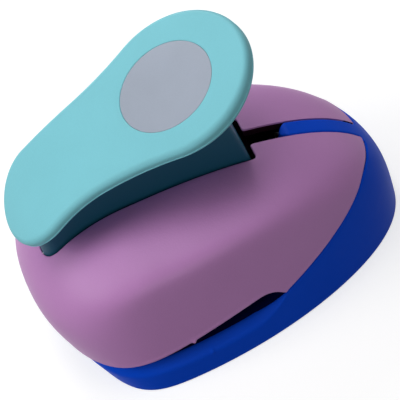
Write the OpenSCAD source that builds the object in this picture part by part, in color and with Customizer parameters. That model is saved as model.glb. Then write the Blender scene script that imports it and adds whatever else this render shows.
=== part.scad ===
// Lever craft punch for round shapes: a moulded body with a paper slot, a paddle lever on a front
// hinge, and a steel cutter set inside. Front is -Y, rear is +Y, and the part stands on z = 0.

/* [Body shell] */
// Width of the body's foot, where the leaning side walls start
foot_w = 68.4; // [66:0.2:72]
// Inward lean of the side walls, in degrees
side_lean = 8; // [7:0.5:9]
// Width of the dome that caps the body, before the side walls trim it
dome_w = 83.6; // [80:0.4:88]
// Front of the housing at its fullest
front_y = -49.1; // [-52:0.1:-48.5]
// Front of the housing at the seam
rim_front_y = -47.3; // [-49:0.1:-46.5]
// Front of the base where it stands
base_front_y = -42.9; // [-45:0.1:-42]
// Rear of the base where it stands
rear_y = 49.1; // [47.5:0.1:52]
// Height of the crest of the dome
crest_z = 42; // [41.5:0.25:45]
// Place of the crest along the body
crest_y = -19.3; // [-22:0.1:-17]
// Height at which the front is fullest
front_z = 20.5; // [18:0.5:23]
// Place along the body where the plan is widest
wide_y = -18.3; // [-20:0.1:-16]
// Height at which the base's slope hands over to the housing's
seam_z = 10.6; // [10:0.2:11.4]
// Wall thickness of the housing and the heel
wall = 2.4; // [2:0.1:2.8]

/* [Paper slot] */
// Height of the plane that the paper lies on
die_z = 8.8; // [8.4:0.1:9.2]
// Height of the slot that the paper slides into
slot_h = 1.8; // [1.4:0.1:2.2]
// Height of the housing's rim at the front
rim_z = 10; // [9.9:0.1:10.6]
// Rise of the rim from the front to the throat
rim_rise = 4.7; // [2:0.1:5]
// Breadth of the sloping lead-in round the base
ledge_w = 2.8; // [1.5:0.1:3.2]
// Height of the sloping lead-in
ledge_h = 2.6; // [1.5:0.1:3.2]
// Wall thickness of the tray round the die
tray_wall = 5; // [4.6:0.1:5.4]
// Thickness of the base's floor
floor_t = 2.4; // [1.8:0.1:2.8]

/* [Heel and spine] */
// Place of the cusp where the heel, the rim and the slot meet
cusp_y = 9.8; // [7:0.1:12]
// Height of that cusp
cusp_z = 11; // [10.7:0.1:11.6]
// Height of the heel's top edge at the rear
heel_z = 22.6; // [21.5:0.1:24]
// Width of the spine over the rear of the dome
spine_w = 4.8; // [4:0.1:6]
// Place of the spine's front end
spine_y = 25.1; // [22:0.1:28]
// Seam gap between the housing and the base
seam_gap = 0.25; // [0.15:0.05:0.4]

/* [Lever] */
// Diameter of the inlaid disc
disc_d = 25; // [20:0.5:28]
// Thickness of the inlaid disc
disc_t = 0.8; // [0.5:0.1:1.2]
// Place of the disc's centre along the body
disc_y = 1.3; // [-1:0.1:3]
// Height of the disc's centre
disc_z = 67.6; // [66:0.2:70]
// Tilt of the pad at rest, in degrees
lever_tilt = 17.6; // [16:0.2:19]
// Radius of the thumb pad
pad_r = 20.8; // [17:0.1:22]
// Distance from the disc's centre back to the pad's centre
pad_back = 1.75; // [1:0.05:4]
// Radius of the narrow front end
neck_r = 14; // [12:0.1:15]
// Distance between the centres of the two ends
neck_reach = 43.4; // [41:0.2:45]
// Radius of the drawn-in waist
waist_r = 89; // [50:1:100]
// Thickness of the paddle
plate_t = 3.8; // [3.2:0.1:4.4]
// Distance from the disc's centre forward to where the paddle bends down
bend_start = 23.7; // [20:0.1:26]
// Radius of that bend
bend_r = 58; // [50:1:70]
// Width of the skirt under the paddle
skirt_w = 14.2; // [13:0.1:15]
// Wall thickness of the skirt
skirt_wall = 1.8; // [1.4:0.1:2.1]
// Front of the skirt
skirt_front_y = -41.9; // [-42.6:0.1:-41.2]
// Rear of the skirt at the crest
skirt_rear_y = 15.1; // [12:0.1:16]
// Forward lean of the skirt's rear wall, in degrees
skirt_lean = 9; // [8:0.5:10]

/* [Hinge and drive] */
// Place of the hinge along the body
hinge_y = -36.2; // [-37:0.1:-35.4]
// Height of the hinge
hinge_z = 30; // [29.6:0.1:30.2]
// Diameter of the hinge pin
hinge_d = 4; // [3:0.1:4.4]
// Diameter of the presser pin
presser_d = 5; // [4:0.1:5.4]
// Swing of the lever from rest to the stop, in degrees
press_angle = 9; // [8.5:0.5:9.5]
// Sheet thickness of the hinge bracket
bracket_t = 1.5; // [1.2:0.1:1.6]

/* [Cutter set] */
// Diameter of the shape that is cut
cutter_d = 25; // [20:0.5:26]
// Place of the cutter along the body
cutter_y = -14.7; // [-15.6:0.1:-13.8]
// Height of the cutter's edge above the slot at rest
cutter_lift = 0.4; // [0.3:0.1:0.8]
// Depth of the hollow grind across the cutter's face
cutter_hollow = 0.7; // [0.5:0.1:0.8]
// Thickness of the die plate
die_t = 4; // [3.4:0.1:4.4]
// Thickness of the guide plate
guide_t = 3; // [2.4:0.1:3.2]
// Thickness of the plunger
plunger_t = 5.5; // [5:0.1:5.8]
// Diameter of the two guide posts
post_d = 4; // [3.4:0.1:4.4]
// Wire diameter of the return springs
spring_wire = 0.9; // [0.7:0.05:1]
// Mean diameter of the return springs
spring_d = 6.6; // [6.2:0.1:7]
// Number of turns in a return spring
spring_turns = 3.5; // [3:0.5:4]

/* [Fasteners] */
// Shank diameter of the plate screws
screw_d = 3; // [2.5:0.1:3.2]
// Head diameter of the plate screws
head_d = 5.4; // [4.8:0.1:5.8]
// Head height of the plate screws
head_h = 1.9; // [1.6:0.1:2.2]
// Diameter of the screw bosses
boss_d = 7; // [6.6:0.1:7.6]
// Depth that a screw reaches into a boss
screw_grip = 6; // [5:0.5:7]

/* [Hidden] */

// Colours
blue = [0.04, 0.18, 0.55];
violet = [0.66, 0.47, 0.67];
turquoise = [0.5, 0.8, 0.84];
grey = [0.64, 0.67, 0.73];
steel = [0.72, 0.73, 0.75];
spring_steel = [0.55, 0.56, 0.58];
black = [0.12, 0.12, 0.13];

// Fits
run_fit = 0.05;
seat_fit = 0.01;
loose_fit = 0.3;
far = rear_y - front_y;

// Exponents of the dome towards the side, the front and the rear, as [along the height, across]
side_bow = [5, 1.61];
front_bow = [2, 1.85];
rear_bow = [3.3, 2.05];
// Exponents of the side walls' plan and of the dome's plan, as [ahead of the widest place, behind it]
wall_plan = [2.75, 1.88];
dome_plan = [1.9, 2.8];
// Length of the side walls' plan past the front and the rear of the body
wall_over = [0.9, 3.8];
// Sharpness of the ridge where the side walls trim the dome
ridge = 12;
// Height from which the plan's centre moves to the crest, and the dome's rings start
dome_from = 28;
// Facets round the shells, and rings up the dome
shell_sides = 56;
dome_rings = 11;
// Share of the dome's height at which the loft stops, inside the lever's opening
dome_top = 0.99;

// Heights through the cutter set
slot_z = die_z + slot_h;
guide_top = slot_z + guide_t;
die_bottom = die_z - die_t;
wear_t = 3;
wear_proud = 2.2;
wear_top = hinge_z - presser_d / 2 - run_fit;
plunger_top = wear_top - wear_proud;
plunger_bottom = plunger_top - plunger_t;
spring_pocket = 3;
cutter_bottom = slot_z + cutter_lift;

// Places in plan
spring_outer_r = (spring_d + spring_wire) / 2;
post_x = cutter_d / 2 + 1.6 + spring_outer_r;
plate_rear_y = 22.4;
throat_y = cusp_y - 2;
clamp_xy = [0.2045 * foot_w, plate_rear_y - 6.4];
die_screw_xy = [0.248 * foot_w, base_front_y + 9.9];
guide_screw_xy = [0.285 * foot_w, rim_front_y + 16.3];
housing_screw_xy = [0.219 * foot_w, plate_rear_y + 1.1 + boss_d / 2];
cutter_screw_x = 0.34 * cutter_d;
bracket_screw_x = skirt_w / 2 - 3.1;
guide_inset = wall + 1;
die_inset = tray_wall + loose_fit;

// Lever opening in the crest
opening_side = 0.45;
opening_front_y = skirt_front_y - 0.6;

$fn = 48;

// Curves of the body

function mix(a, b, t) = a + (b - a) * t;
function ease_out(t) = 1 - pow(1 - t, 2);
function smooth(t) = let (u = min(1, max(0, t))) u * u * (3 - 2 * u);

// Reach of the shell at height z: a straight foot, an eased wall up to its fullest, then the dome
function reach(z, foot, seam, full, full_z, centre, top, bow) =
    z < seam_z ? mix(foot, seam, z / seam_z)
    : z < full_z ? mix(seam, full, ease_out((z - seam_z) / (full_z - seam_z)))
    : mix(centre, full, pow(max(0, 1 - pow((z - full_z) / (top - full_z), bow[0])), 1 / bow[1]));

function wall_x(z, t) = foot_w / 2 - z * tan(side_lean) - t;
function dome_x(z, t) =
    (dome_w / 2 - t) * pow(max(0, 1 - pow(z / (crest_z - t), side_bow[0])), 1 / side_bow[1]);
function fore_y(z, t) =
    reach(z, base_front_y + t, rim_front_y + t, front_y + t, front_z, crest_y, crest_z - t, front_bow);
function aft_y(z, t) =
    mix(crest_y, rear_y - t, pow(max(0, 1 - pow(z / (crest_z - t), rear_bow[0])), 1 / rear_bow[1]));
function mid_y(z, t) =
    mix(wide_y, crest_y, max(0, (z - dome_from) / (crest_z - t - dome_from)));

// Height of the crest line over the place y behind the crest
function crest_line(y) =
    crest_z * pow(1 - pow((y - crest_y) / (rear_y - crest_y), rear_bow[1]), 1 / rear_bow[0]);

// Room that the skirt's rear wall needs behind it as the lever swings down through the opening
skirt_reach = skirt_rear_y - hinge_y;
crest_over = crest_line(skirt_rear_y) - hinge_z;
swung_over = (crest_over + skirt_reach * sin(press_angle)) / cos(press_angle);
swung_reach = skirt_reach - (swung_over - crest_over) * tan(skirt_lean);
skirt_swing = swung_reach * cos(press_angle) + swung_over * sin(press_angle) - skirt_reach;
opening_rear_y = skirt_rear_y + max(0.4, skirt_swing + 0.3);

function signed_pow(a, e) = sign(a) * pow(abs(a), e);

// Soft smaller of two lengths, and the length that gives a when it is softened with b
function soft_least(a, b) = pow(pow(a, -ridge) + pow(b, -ridge), -1 / ridge);
function unsoften(a, b) = pow(pow(a, -ridge) - pow(b, -ridge), -1 / ridge);

// Distance of the point p out from the middle of a superellipse with these half lengths and exponent
function outness(p, x, y, n) = pow(pow(abs(p[0] / x), n) + pow(abs(p[1] / y), n), 1 / n);

// Plan of the shell at height z, taken in by t: the dome's plan trimmed softly by the side walls' plan
function plan(z, t, sides = shell_sides) =
    let (m = mid_y(z, t), wx = wall_x(z, t), dx = dome_x(z, t), half = soft_least(wx, dx),
         runs = [m - fore_y(z, t), aft_y(z, t) - m],
         wall_runs = [wide_y - front_y + wall_over[0] - t, rear_y - wide_y + wall_over[1] - t])
    [for (i = [0 : sides - 1])
        let (a = 360 * i / sides, s = sin(a), k = s < 0 ? 0 : 1, n = wall_plan[k],
             p = [half * signed_pow(cos(a), 2 / n), runs[k] * signed_pow(s, 2 / n)],
             out_wall = outness(p, wx, wall_runs[k], n),
             out_dome = outness(p, dx, unsoften(runs[k], wall_runs[k]), dome_plan[k]),
             q = p * soft_least(1 / out_wall, 1 / out_dome))
        [q[0], m + q[1]]];

function ring(z, t, sides = shell_sides) = [for (p = plan(z, t, sides)) [p[0], p[1], z]];

// Heights of the loft's rings from the shoulder up, closer together near the crest
function dome_heights(t) = [
    for (k = [0 : dome_rings]) mix(dome_from, crest_z - t, dome_top * sin(90 * k / dome_rings))];

// Share of the lead-in that is left at y: whole along the slot, gone at the cusp
function ledge_share(y) = 1 - smooth((y - cusp_y + 14) / 14);

// Ring of the base's outer face, taken in by the lead-in where the slot runs
function ledge_ring(z, t) =
    let (outer = plan(z, 0), inner = plan(z, t))
    [for (i = [0 : shell_sides - 1])
        let (p = outer[i], q = inner[i], s = ledge_share(p[1]))
        [mix(p[0], q[0], s), mix(p[1], q[1], s), z]];

// Curves of the seams, in side view as [y, z]

function curve(a, c, b, n) = [for (i = [0 : n]) let (t = i / n)
    (1 - t) * (1 - t) * a + 2 * t * (1 - t) * c + t * t * b];

function sweep(a, c, d, b, n) = [for (i = [0 : n]) let (t = i / n, u = 1 - t)
    u * u * u * a + 3 * u * u * t * c + 3 * u * t * t * d + t * t * t * b];

cusp = [cusp_y, cusp_z];
heel_end = [rear_y - 4.7, heel_z];
heel_curve = sweep(cusp, cusp + [33, 10.5], heel_end + [-8, 3.3], heel_end, 14);
rim_from = front_y + 13.4;
function rim_line(y) = rim_z + rim_rise * smooth((y - rim_from) / (cusp_y - 1.1 - rim_from));
hook_y = cusp_y - 6.2;
rim_curve = [for (i = [0 : 8]) let (y = mix(rim_from, hook_y, i / 8)) [y, rim_line(y)]];
hook_curve = curve([hook_y, rim_line(hook_y)], [cusp_y - 2.6, rim_line(hook_y) - 0.1], cusp, 6);
throat_curve = curve([throat_y - 2, die_z], [throat_y + 1, die_z], cusp, 4);

// Curve of the paddle, in side view

function bend_run(v) = max(0, -bend_start - v);
function tilt_at(v) = lever_tilt + bend_run(v) / bend_r * 180 / PI;

// Place of the point v along the paddle and h below its top face
function paddle_point(v, h) =
    let (a = tilt_at(v), s = max(v, -bend_start))
    [disc_y + s * cos(lever_tilt) - bend_r * (sin(a) - sin(lever_tilt)) + h * sin(a),
     disc_z + s * sin(lever_tilt) - bend_r * (cos(lever_tilt) - cos(a)) - h * cos(a)];

// Right half of the paddle's outline from rear to front, taken in by e: two round ends and a waist
function paddle_half(e) =
    let (r1 = pad_r - e, r2 = neck_r - e, r3 = waist_r + e, d = neck_reach,
         along = (pow(r1 + r3, 2) - pow(r2 + r3, 2) + d * d) / (2 * d),
         aside = sqrt(pow(r1 + r3, 2) - along * along),
         a1 = atan2(-along, aside), a2 = atan2(d - along, aside))
    concat(
        [for (i = [0 : 14]) let (a = mix(90, a1, i / 14)) [r1 * cos(a), pad_back + r1 * sin(a)]],
        [for (i = [1 : 7]) let (a = mix(a1, a2, i / 8))
            [aside - r3 * cos(a), pad_back - along - r3 * sin(a)]],
        [for (i = [0 : 12]) let (a = mix(a2, -90, i / 12)) [r2 * cos(a), pad_back - d + r2 * sin(a)]]);

function paddle_ring(e, h) =
    let (half = paddle_half(e), mirrored = [for (i = [len(half) - 2 : -1 : 1]) [-half[i][0], half[i][1]]])
    [for (p = concat(half, mirrored)) let (q = paddle_point(p[1], h)) [p[0], q[0], q[1]]];

// Shapes used by several pieces

// Triangles between ring k and the next of rings with n points
function strip(k, next, n) = [
    for (i = [0 : n - 1])
        let (a = k * n + i, b = k * n + (i + 1) % n, c = next * n + (i + 1) % n, d = next * n + i)
        each [[a, d, c], [a, c, b]]];

// Closed band through rings that come back to the first one
module ring_loft(rings) {
    n = len(rings[0]);
    m = len(rings);
    polyhedron([for (r = rings) each r], [for (k = [0 : m - 1]) each strip(k, (k + 1) % m, n)]);
}

// Solid through rings, with flat ends
module solid_loft(rings) {
    n = len(rings[0]);
    m = len(rings);
    polyhedron([for (r = rings) each r], concat(
        [[for (i = [0 : n - 1]) i]],
        [for (k = [0 : m - 2]) each strip(k, k + 1, n)],
        [[for (i = [n - 1 : -1 : 0]) (m - 1) * n + i]]));
}

// Side view shape carried across the body
module across(width) {
    rotate([90, 0, 90]) linear_extrude(height = width, center = true) children();
}

// Rod along X
module cross_rod(d, length) {
    rotate([0, 90, 0]) cylinder(d = d, h = length, center = true);
}

// Copies at both sides of the body
module both_sides(xy) {
    for (s = [-1, 1]) translate([s * xy[0], xy[1], 0]) children();
}

// Pan head screw that points up from z = 0 under its head
module screw(shank, length) {
    translate([0, 0, -head_h]) cylinder(d = head_d, h = head_h);
    cylinder(d = shank, h = length);
}

// Bores of one diameter at both sides of the body, from z up
module bore_pair(xy, z, d, h) {
    both_sides(xy) translate([0, 0, z]) cylinder(d = d, h = h);
}

// Flat plate of the shell's plan at height z, from the front to its straight rear edge
module plan_plate(z, inset, thickness, from_y = -far) {
    translate([0, 0, z]) linear_extrude(height = thickness) intersection() {
        polygon(plan(z, inset));
        polygon(plan(z + thickness, inset));
        translate([-far, from_y]) square([2 * far, plate_rear_y - from_y]);
    }
}

// Pieces

module base() {
    outer = [ring(0, 0.7), ring(0.7, 0), ring(die_z - ledge_h, 0),
        ledge_ring(die_z + loose_fit, ledge_w * (1 + loose_fit / ledge_h)), ring(die_z + 2 * loose_fit, 0),
        for (k = [1 : 3]) ring(mix(die_z, dome_from, k / 4), 0)];
    inner = [for (k = [3 : -1 : 1]) ring(mix(die_z, dome_from, k / 4), wall), ring(slot_z + 0.5, wall),
        ring(die_z, tray_wall), ring(0, tray_wall)];
    dome_out = [for (z = dome_heights(0)) ring(z, 0)];
    dome_in = [for (k = [dome_rings : -1 : 0]) ring(dome_heights(wall)[k], wall)];
    above_tray = concat([[-far, die_z]], throat_curve, heel_curve, [[far, heel_z], [far, far], [-far, far]]);
    nose = spine_y + wall;
    color(blue) difference() {
        union() {
            difference() {
                ring_loft(concat(outer, dome_out, dome_in, inner));
                for (s = [-1, 1]) translate([s * (spine_w + far) / 2, 0, 0])
                    across(far) polygon(above_tray);
                across(spine_w + 1) difference() {
                    polygon([[-far, die_z], [nose, die_z], [nose, far], [-far, far]]);
                    translate([nose, crest_line(nose) - wall]) circle(r = wall);
                    translate([spine_y, 0]) square([wall + 1, crest_line(nose) - wall]);
                }
            }
            linear_extrude(height = floor_t) polygon(plan(0, tray_wall / 2));
            translate([0, cutter_y, 0]) cylinder(d = cutter_d + 10, h = die_bottom);
            both_sides(clamp_xy) cylinder(d = boss_d, h = die_bottom);
            both_sides(die_screw_xy) cylinder(d = boss_d, h = die_bottom);
            both_sides(housing_screw_xy) cylinder(d = boss_d, h = slot_z);
        }
        translate([0, cutter_y, -1]) cylinder(d = cutter_d + 5, h = die_bottom + 2);
        for (xy = [clamp_xy, die_screw_xy, housing_screw_xy]) {
            bore_pair(xy, -1, screw_d + 0.3, slot_z + 2);
            bore_pair(xy, -1, head_d + 0.6, head_h + 1.5);
        }
    }
}

module upper_housing() {
    low = rim_z - 1.4;
    heights = [low, mix(low, front_z, 0.33), mix(low, front_z, 0.67), front_z, mix(front_z, dome_from, 0.5)];
    outer = [for (z = heights) ring(z, 0)];
    inner = [for (k = [len(heights) - 1 : -1 : 0]) ring(heights[k], wall)];
    dome_out = [for (z = dome_heights(0)) ring(z, 0)];
    dome_in = [for (k = [dome_rings : -1 : 0]) ring(dome_heights(wall)[k], wall)];
    core_dome = [for (k = [0 : 3]) mix(dome_from, crest_z, k * 0.24)];
    core_heights = concat([low, mix(low, front_z, 0.6), front_z], core_dome);
    core = [for (z = core_heights) ring(z, wall / 2, shell_sides / 2)];
    rear_seam = [for (p = heel_curve) p + [-0.1, seam_gap]];
    below_rim = concat([[-far, 0], [-far, rim_z]], rim_curve, hook_curve, rear_seam,
        [[far, heel_z + seam_gap], [far, 0]]);
    color(violet) difference() {
        union() {
            difference() {
                ring_loft(concat(outer, dome_out, dome_in, inner));
                across(far) polygon(below_rim);
            }
            intersection() {
                union() {
                    both_sides(guide_screw_xy) translate([0, 0, guide_top]) cylinder(d = boss_d, h = crest_z);
                    both_sides(housing_screw_xy) translate([0, 0, slot_z]) cylinder(d = boss_d, h = crest_z);
                }
                solid_loft(core);
            }
        }
        translate([-skirt_w / 2 - opening_side, opening_front_y, hinge_z - 6])
            cube([skirt_w + 2 * opening_side, opening_rear_y - opening_front_y, far]);
        translate([-spine_w / 2 - seam_gap, opening_rear_y - 1, heel_z - 6])
            cube([spine_w + 2 * seam_gap, far, far]);
        bore_pair(guide_screw_xy, guide_top - 1, screw_d + 2 * seat_fit, screw_grip + 4);
        bore_pair(housing_screw_xy, slot_z - 1, screw_d + 2 * seat_fit, screw_grip + 4);
    }
}

module lever() {
    edge = 1.3;
    rings = [paddle_ring(edge, 0), paddle_ring(edge * 0.3, edge * 0.3), paddle_ring(0, edge),
        paddle_ring(0, plate_t - 0.8), paddle_ring(0.8, plate_t)];
    n = len(rings[0]);
    half = n / 2;
    last = (len(rings) - 1) * n;
    top = concat([[0, 1, n - 1]],
        [for (i = [1 : half - 2]) each [[i, i + 1, n - i - 1], [i, n - i - 1, n - i]]],
        [[half - 1, half, half + 1]]);
    bottom = [for (f = top) [last + f[0], last + f[2], last + f[1]]];
    down = [[-far, 0], [far, 0]];
    under_paddle = concat([for (v = [23 : -6 : -55]) paddle_point(v, plate_t - 1.2)], down);
    in_paddle = concat([for (v = [23 : -6 : -55]) paddle_point(v, plate_t + 0.6)], down);
    rear_foot_z = crest_line(skirt_rear_y) - wall - 3.6;
    lean = tan(skirt_lean);
    stop_in = 0.3;
    stop_w = skirt_w / 2 - spine_w / 2 - 2 * stop_in - seam_gap;
    presser_boss = presser_d + 2.6;
    ear = hinge_d + 4.4;
    low = hinge_z - 2;
    window = [[skirt_front_y, far], [skirt_front_y, hinge_z], [hinge_y - 2, low], [cutter_y + 3, low],
        [cutter_y + 16, low + 2], [skirt_rear_y, rear_foot_z], [skirt_rear_y, rear_foot_z + 3],
        [skirt_rear_y - lean * 40, rear_foot_z + 43]];
    front_in = skirt_front_y + skirt_wall;
    rear_in = skirt_rear_y - skirt_wall;
    inside = [[front_in, far], [front_in, 0], [rear_in, 0], [rear_in, rear_foot_z + 3],
        [rear_in - lean * 40, rear_foot_z + 43]];
    color(turquoise) difference() {
        union() {
            polyhedron([for (r = rings) each r],
                concat(top, [for (k = [0 : len(rings) - 2]) each strip(k, k + 1, n)], bottom));
            across(skirt_w) {
                intersection() {
                    polygon(under_paddle);
                    polygon(window);
                }
                translate([hinge_y, hinge_z]) circle(d = ear);
                translate([cutter_y, hinge_z]) circle(d = presser_boss);
            }
            for (x = [-skirt_w / 2 + stop_in, skirt_w / 2 - stop_in - stop_w])
                translate([x, skirt_rear_y - 1, rear_foot_z])
                    cube([stop_w, opening_rear_y - skirt_rear_y + 2.4, 1.8]);
        }
        across(skirt_w - 2 * skirt_wall) intersection() {
            polygon(in_paddle);
            polygon(inside);
        }
        translate([0, hinge_y, hinge_z]) cross_rod(hinge_d + 2 * run_fit, skirt_w + 2);
        translate([0, cutter_y, hinge_z]) cross_rod(presser_d + 2 * seat_fit, skirt_w + 2);
        translate([0, disc_y, disc_z]) rotate([lever_tilt, 0, 0]) translate([0, 0, -disc_t])
            cylinder(d = disc_d + 2 * run_fit, h = disc_t + 2);
    }
}

module lever_disc() {
    color(grey) translate([0, disc_y, disc_z]) rotate([lever_tilt, 0, 0]) translate([0, 0, -disc_t])
        cylinder(d = disc_d, h = disc_t - run_fit);
}

module hinge_bracket() {
    ear_in = skirt_w / 2 + 0.35;
    ear_r = hinge_d / 2 + 1.2;
    color(steel) difference() {
        union() {
            translate([-ear_in - bracket_t, hinge_y - ear_r, guide_top])
                cube([2 * (ear_in + bracket_t), 2 * ear_r, bracket_t]);
            for (s = [-1, 1]) translate([s * (ear_in + bracket_t / 2), 0, 0]) across(bracket_t) {
                translate([hinge_y - ear_r, guide_top]) square([2 * ear_r, hinge_z - guide_top]);
                translate([hinge_y, hinge_z]) circle(r = ear_r);
            }
        }
        translate([0, hinge_y, hinge_z]) cross_rod(hinge_d + 2 * seat_fit, far);
        bore_pair([bracket_screw_x, hinge_y], guide_top - 1, screw_d + 0.2, 9);
    }
}

module bracket_screws() {
    color(spring_steel) both_sides([bracket_screw_x, hinge_y]) translate([0, 0, guide_top + bracket_t])
        rotate([180, 0, 0]) screw(screw_d, bracket_t + guide_t - 0.2);
}

module hinge_pin() {
    color(steel) translate([0, hinge_y, hinge_z]) cross_rod(hinge_d, skirt_w + 2 * (0.35 + bracket_t + 1.2));
}

module pin_clips() {
    clip_t = 0.8;
    mouth = hinge_d * 0.6;
    color(spring_steel) for (s = [-1, 1])
        translate([s * (skirt_w / 2 + 0.35 + bracket_t + 0.05 + clip_t / 2), hinge_y, hinge_z]) difference() {
            cross_rod(hinge_d + 1.8, clip_t);
            cross_rod(hinge_d + 2 * seat_fit, 2 * clip_t);
            rotate([60, 0, 0]) translate([-clip_t, -mouth / 2, 0]) cube([2 * clip_t, mouth, hinge_d]);
        }
}

module presser_pin() {
    color(steel) translate([0, cutter_y, hinge_z]) cross_rod(presser_d, skirt_w - 0.2);
}

module wear_pad() {
    size = skirt_w - 2 * skirt_wall - 1;
    color(steel) translate([-size / 2, cutter_y - size / 2, wear_top - wear_t]) cube([size, size, wear_t]);
}

module plunger() {
    pad = skirt_w - 2 * skirt_wall - 1 + 2 * run_fit;
    arm = 2 * spring_outer_r + 3.4;
    color(black) translate([0, cutter_y, 0]) difference() {
        translate([0, 0, plunger_bottom]) union() {
            cylinder(d = cutter_d + 4, h = plunger_t);
            translate([-post_x, -arm / 2, 0]) cube([2 * post_x, arm, plunger_t]);
            both_sides([post_x, 0]) cylinder(d = arm, h = plunger_t);
        }
        translate([-pad / 2, -pad / 2, wear_top - wear_t]) cube([pad, pad, wear_t + 1]);
        bore_pair([post_x, 0], plunger_bottom - 1, post_d + 2 * run_fit, plunger_t + 2);
        bore_pair([post_x, 0], plunger_bottom - 1, 2 * spring_outer_r + 0.8, spring_pocket + 1);
        bore_pair([cutter_screw_x, 0], plunger_bottom - 1, screw_d + 0.2, plunger_t + 2);
        bore_pair([cutter_screw_x, 0], plunger_top - head_h - 0.3, head_d + 0.3, head_h + 1);
    }
}

module cutter() {
    land = 0.6;
    hollow_r = (pow(cutter_d / 2 - land, 2) + pow(cutter_hollow, 2)) / (2 * cutter_hollow);
    color(steel) translate([0, cutter_y, 0]) difference() {
        translate([0, 0, cutter_bottom]) cylinder(d = cutter_d, h = plunger_bottom - cutter_bottom, $fn = 96);
        translate([0, 0, cutter_bottom + cutter_hollow - hollow_r]) rotate([90, 0, 0])
            cylinder(r = hollow_r, h = cutter_d + 2, center = true, $fn = 96);
        bore_pair([cutter_screw_x, 0], plunger_bottom - 5, screw_d + 2 * seat_fit, 6);
    }
}

module cutter_screws() {
    color(spring_steel) both_sides([cutter_screw_x, cutter_y]) translate([0, 0, plunger_top - head_h - 0.3])
        rotate([180, 0, 0]) screw(screw_d, plunger_t - head_h - 0.3 + 4);
}

module guide_plate() {
    color(steel) difference() {
        plan_plate(slot_z, guide_inset, guide_t);
        translate([0, cutter_y, slot_z - 1]) cylinder(d = cutter_d + 2 * run_fit, h = guide_t + 2, $fn = 96);
        bore_pair([post_x, cutter_y], slot_z - 1, post_d + 2 * seat_fit, guide_t + 2);
        bore_pair([bracket_screw_x, hinge_y], slot_z - 1, screw_d + 2 * seat_fit, guide_t + 2);
        bore_pair(clamp_xy, slot_z - 1, screw_d + 2 * seat_fit, guide_t + 2);
        bore_pair(guide_screw_xy, slot_z - 1, screw_d + 0.2, guide_t + 2);
        bore_pair(guide_screw_xy, slot_z - 1, head_d + 0.3, 1 + head_h + 0.2);
    }
}

module guide_posts() {
    color(steel) both_sides([post_x, cutter_y]) translate([0, 0, slot_z])
        cylinder(d = post_d, h = plunger_top - slot_z + 0.5);
}

// Centre line of a return spring, as points up from the guide plate, 8 to a turn
spring_low = guide_top + spring_wire / 2 + 0.05;
spring_high = plunger_bottom + spring_pocket - spring_wire / 2 - 0.05;
spring_line = [for (k = [0 : 8 * spring_turns]) let (a = 45 * k)
    [spring_d / 2 * cos(a), spring_d / 2 * sin(a), mix(spring_low, spring_high, k / (8 * spring_turns))]];
spring_steps = [for (k = [0 : len(spring_line) - 9]) norm(spring_line[k + 8] - spring_line[k])];
spring_gap = min(spring_steps) - spring_wire;
echo(spring_gap = spring_gap);

// Spring wire swept along its centre line with 6 sides
module return_spring(side) {
    n = 6;
    m = len(spring_line);
    rise = (spring_high - spring_low) / (PI * spring_d * spring_turns);
    slope = atan(rise);
    points = [for (k = [0 : m - 1], j = [0 : n - 1])
        let (a = 45 * k, b = 60 * j, out = spring_wire / 2 * cos(b), up = spring_wire / 2 * sin(b),
             lean = up * sin(slope))
        spring_line[k] + [out * cos(a) + lean * sin(a), out * sin(a) - lean * cos(a), up * cos(slope)]];
    faces = concat([[for (j = [0 : n - 1]) j]],
        [for (k = [0 : m - 2], j = [0 : n - 1])
            let (a = k * n + j, b = k * n + (j + 1) % n, c = (k + 1) * n + (j + 1) % n, d = (k + 1) * n + j)
            each [[a, d, c], [a, c, b]]],
        [[for (j = [n - 1 : -1 : 0]) (m - 1) * n + j]]);
    color(spring_steel) translate([side * post_x, cutter_y, 0]) polyhedron(points, faces);
}

module left_return_spring() { return_spring(-1); }

module right_return_spring() { return_spring(1); }

module die_plate() {
    color(steel) difference() {
        plan_plate(die_bottom, die_inset, die_t);
        translate([0, cutter_y, die_bottom - 1])
            cylinder(d = cutter_d + 2 * run_fit, h = die_t + 2, $fn = 96);
        bore_pair(clamp_xy, die_bottom - 1, screw_d + 0.3, die_t + 2);
        bore_pair(die_screw_xy, die_bottom - 1, screw_d + 2 * seat_fit, die_t + 2);
    }
}

module throat_spacer() {
    color(steel) difference() {
        plan_plate(die_z, die_inset, slot_h, throat_y);
        bore_pair(clamp_xy, die_z - 1, screw_d + 0.3, slot_h + 2);
    }
}

module clamp_screws() {
    color(spring_steel) both_sides(clamp_xy) translate([0, 0, head_h + 0.5])
        screw(screw_d, guide_top - head_h - 0.7);
}

module die_screws() {
    color(spring_steel) both_sides(die_screw_xy) translate([0, 0, head_h + 0.5])
        screw(screw_d, die_z - head_h - 0.9);
}

module guide_screws() {
    color(spring_steel) both_sides(guide_screw_xy) translate([0, 0, slot_z + head_h + 0.2])
        screw(screw_d, guide_t + screw_grip);
}

module housing_screws() {
    color(spring_steel) both_sides(housing_screw_xy) translate([0, 0, head_h + 0.5])
        screw(screw_d, slot_z + screw_grip);
}

base();
upper_housing();
lever();
lever_disc();
hinge_bracket();
bracket_screws();
hinge_pin();
pin_clips();
presser_pin();
wear_pad();
plunger();
cutter();
cutter_screws();
guide_plate();
guide_posts();
left_return_spring();
right_return_spring();
die_plate();
throat_spacer();
clamp_screws();
die_screws();
guide_screws();
housing_screws();
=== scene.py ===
# %% [markdown]
# # A lever craft punch, dressed for its photograph
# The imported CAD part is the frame: it gives every piece its place, its size and the body it moves with.
# Here the parts a person sees, the shell, the base, the lever, its disc, the springs and the screw heads,
# are made again as smooth surfaces worked out with numpy, and every surface gets a procedural finish.

# %% Load the frame
import math

import bmesh
import bpy
import numpy as np
from mathutils import Matrix, Vector
from mathutils.geometry import delaunay_2d_cdt


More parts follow.
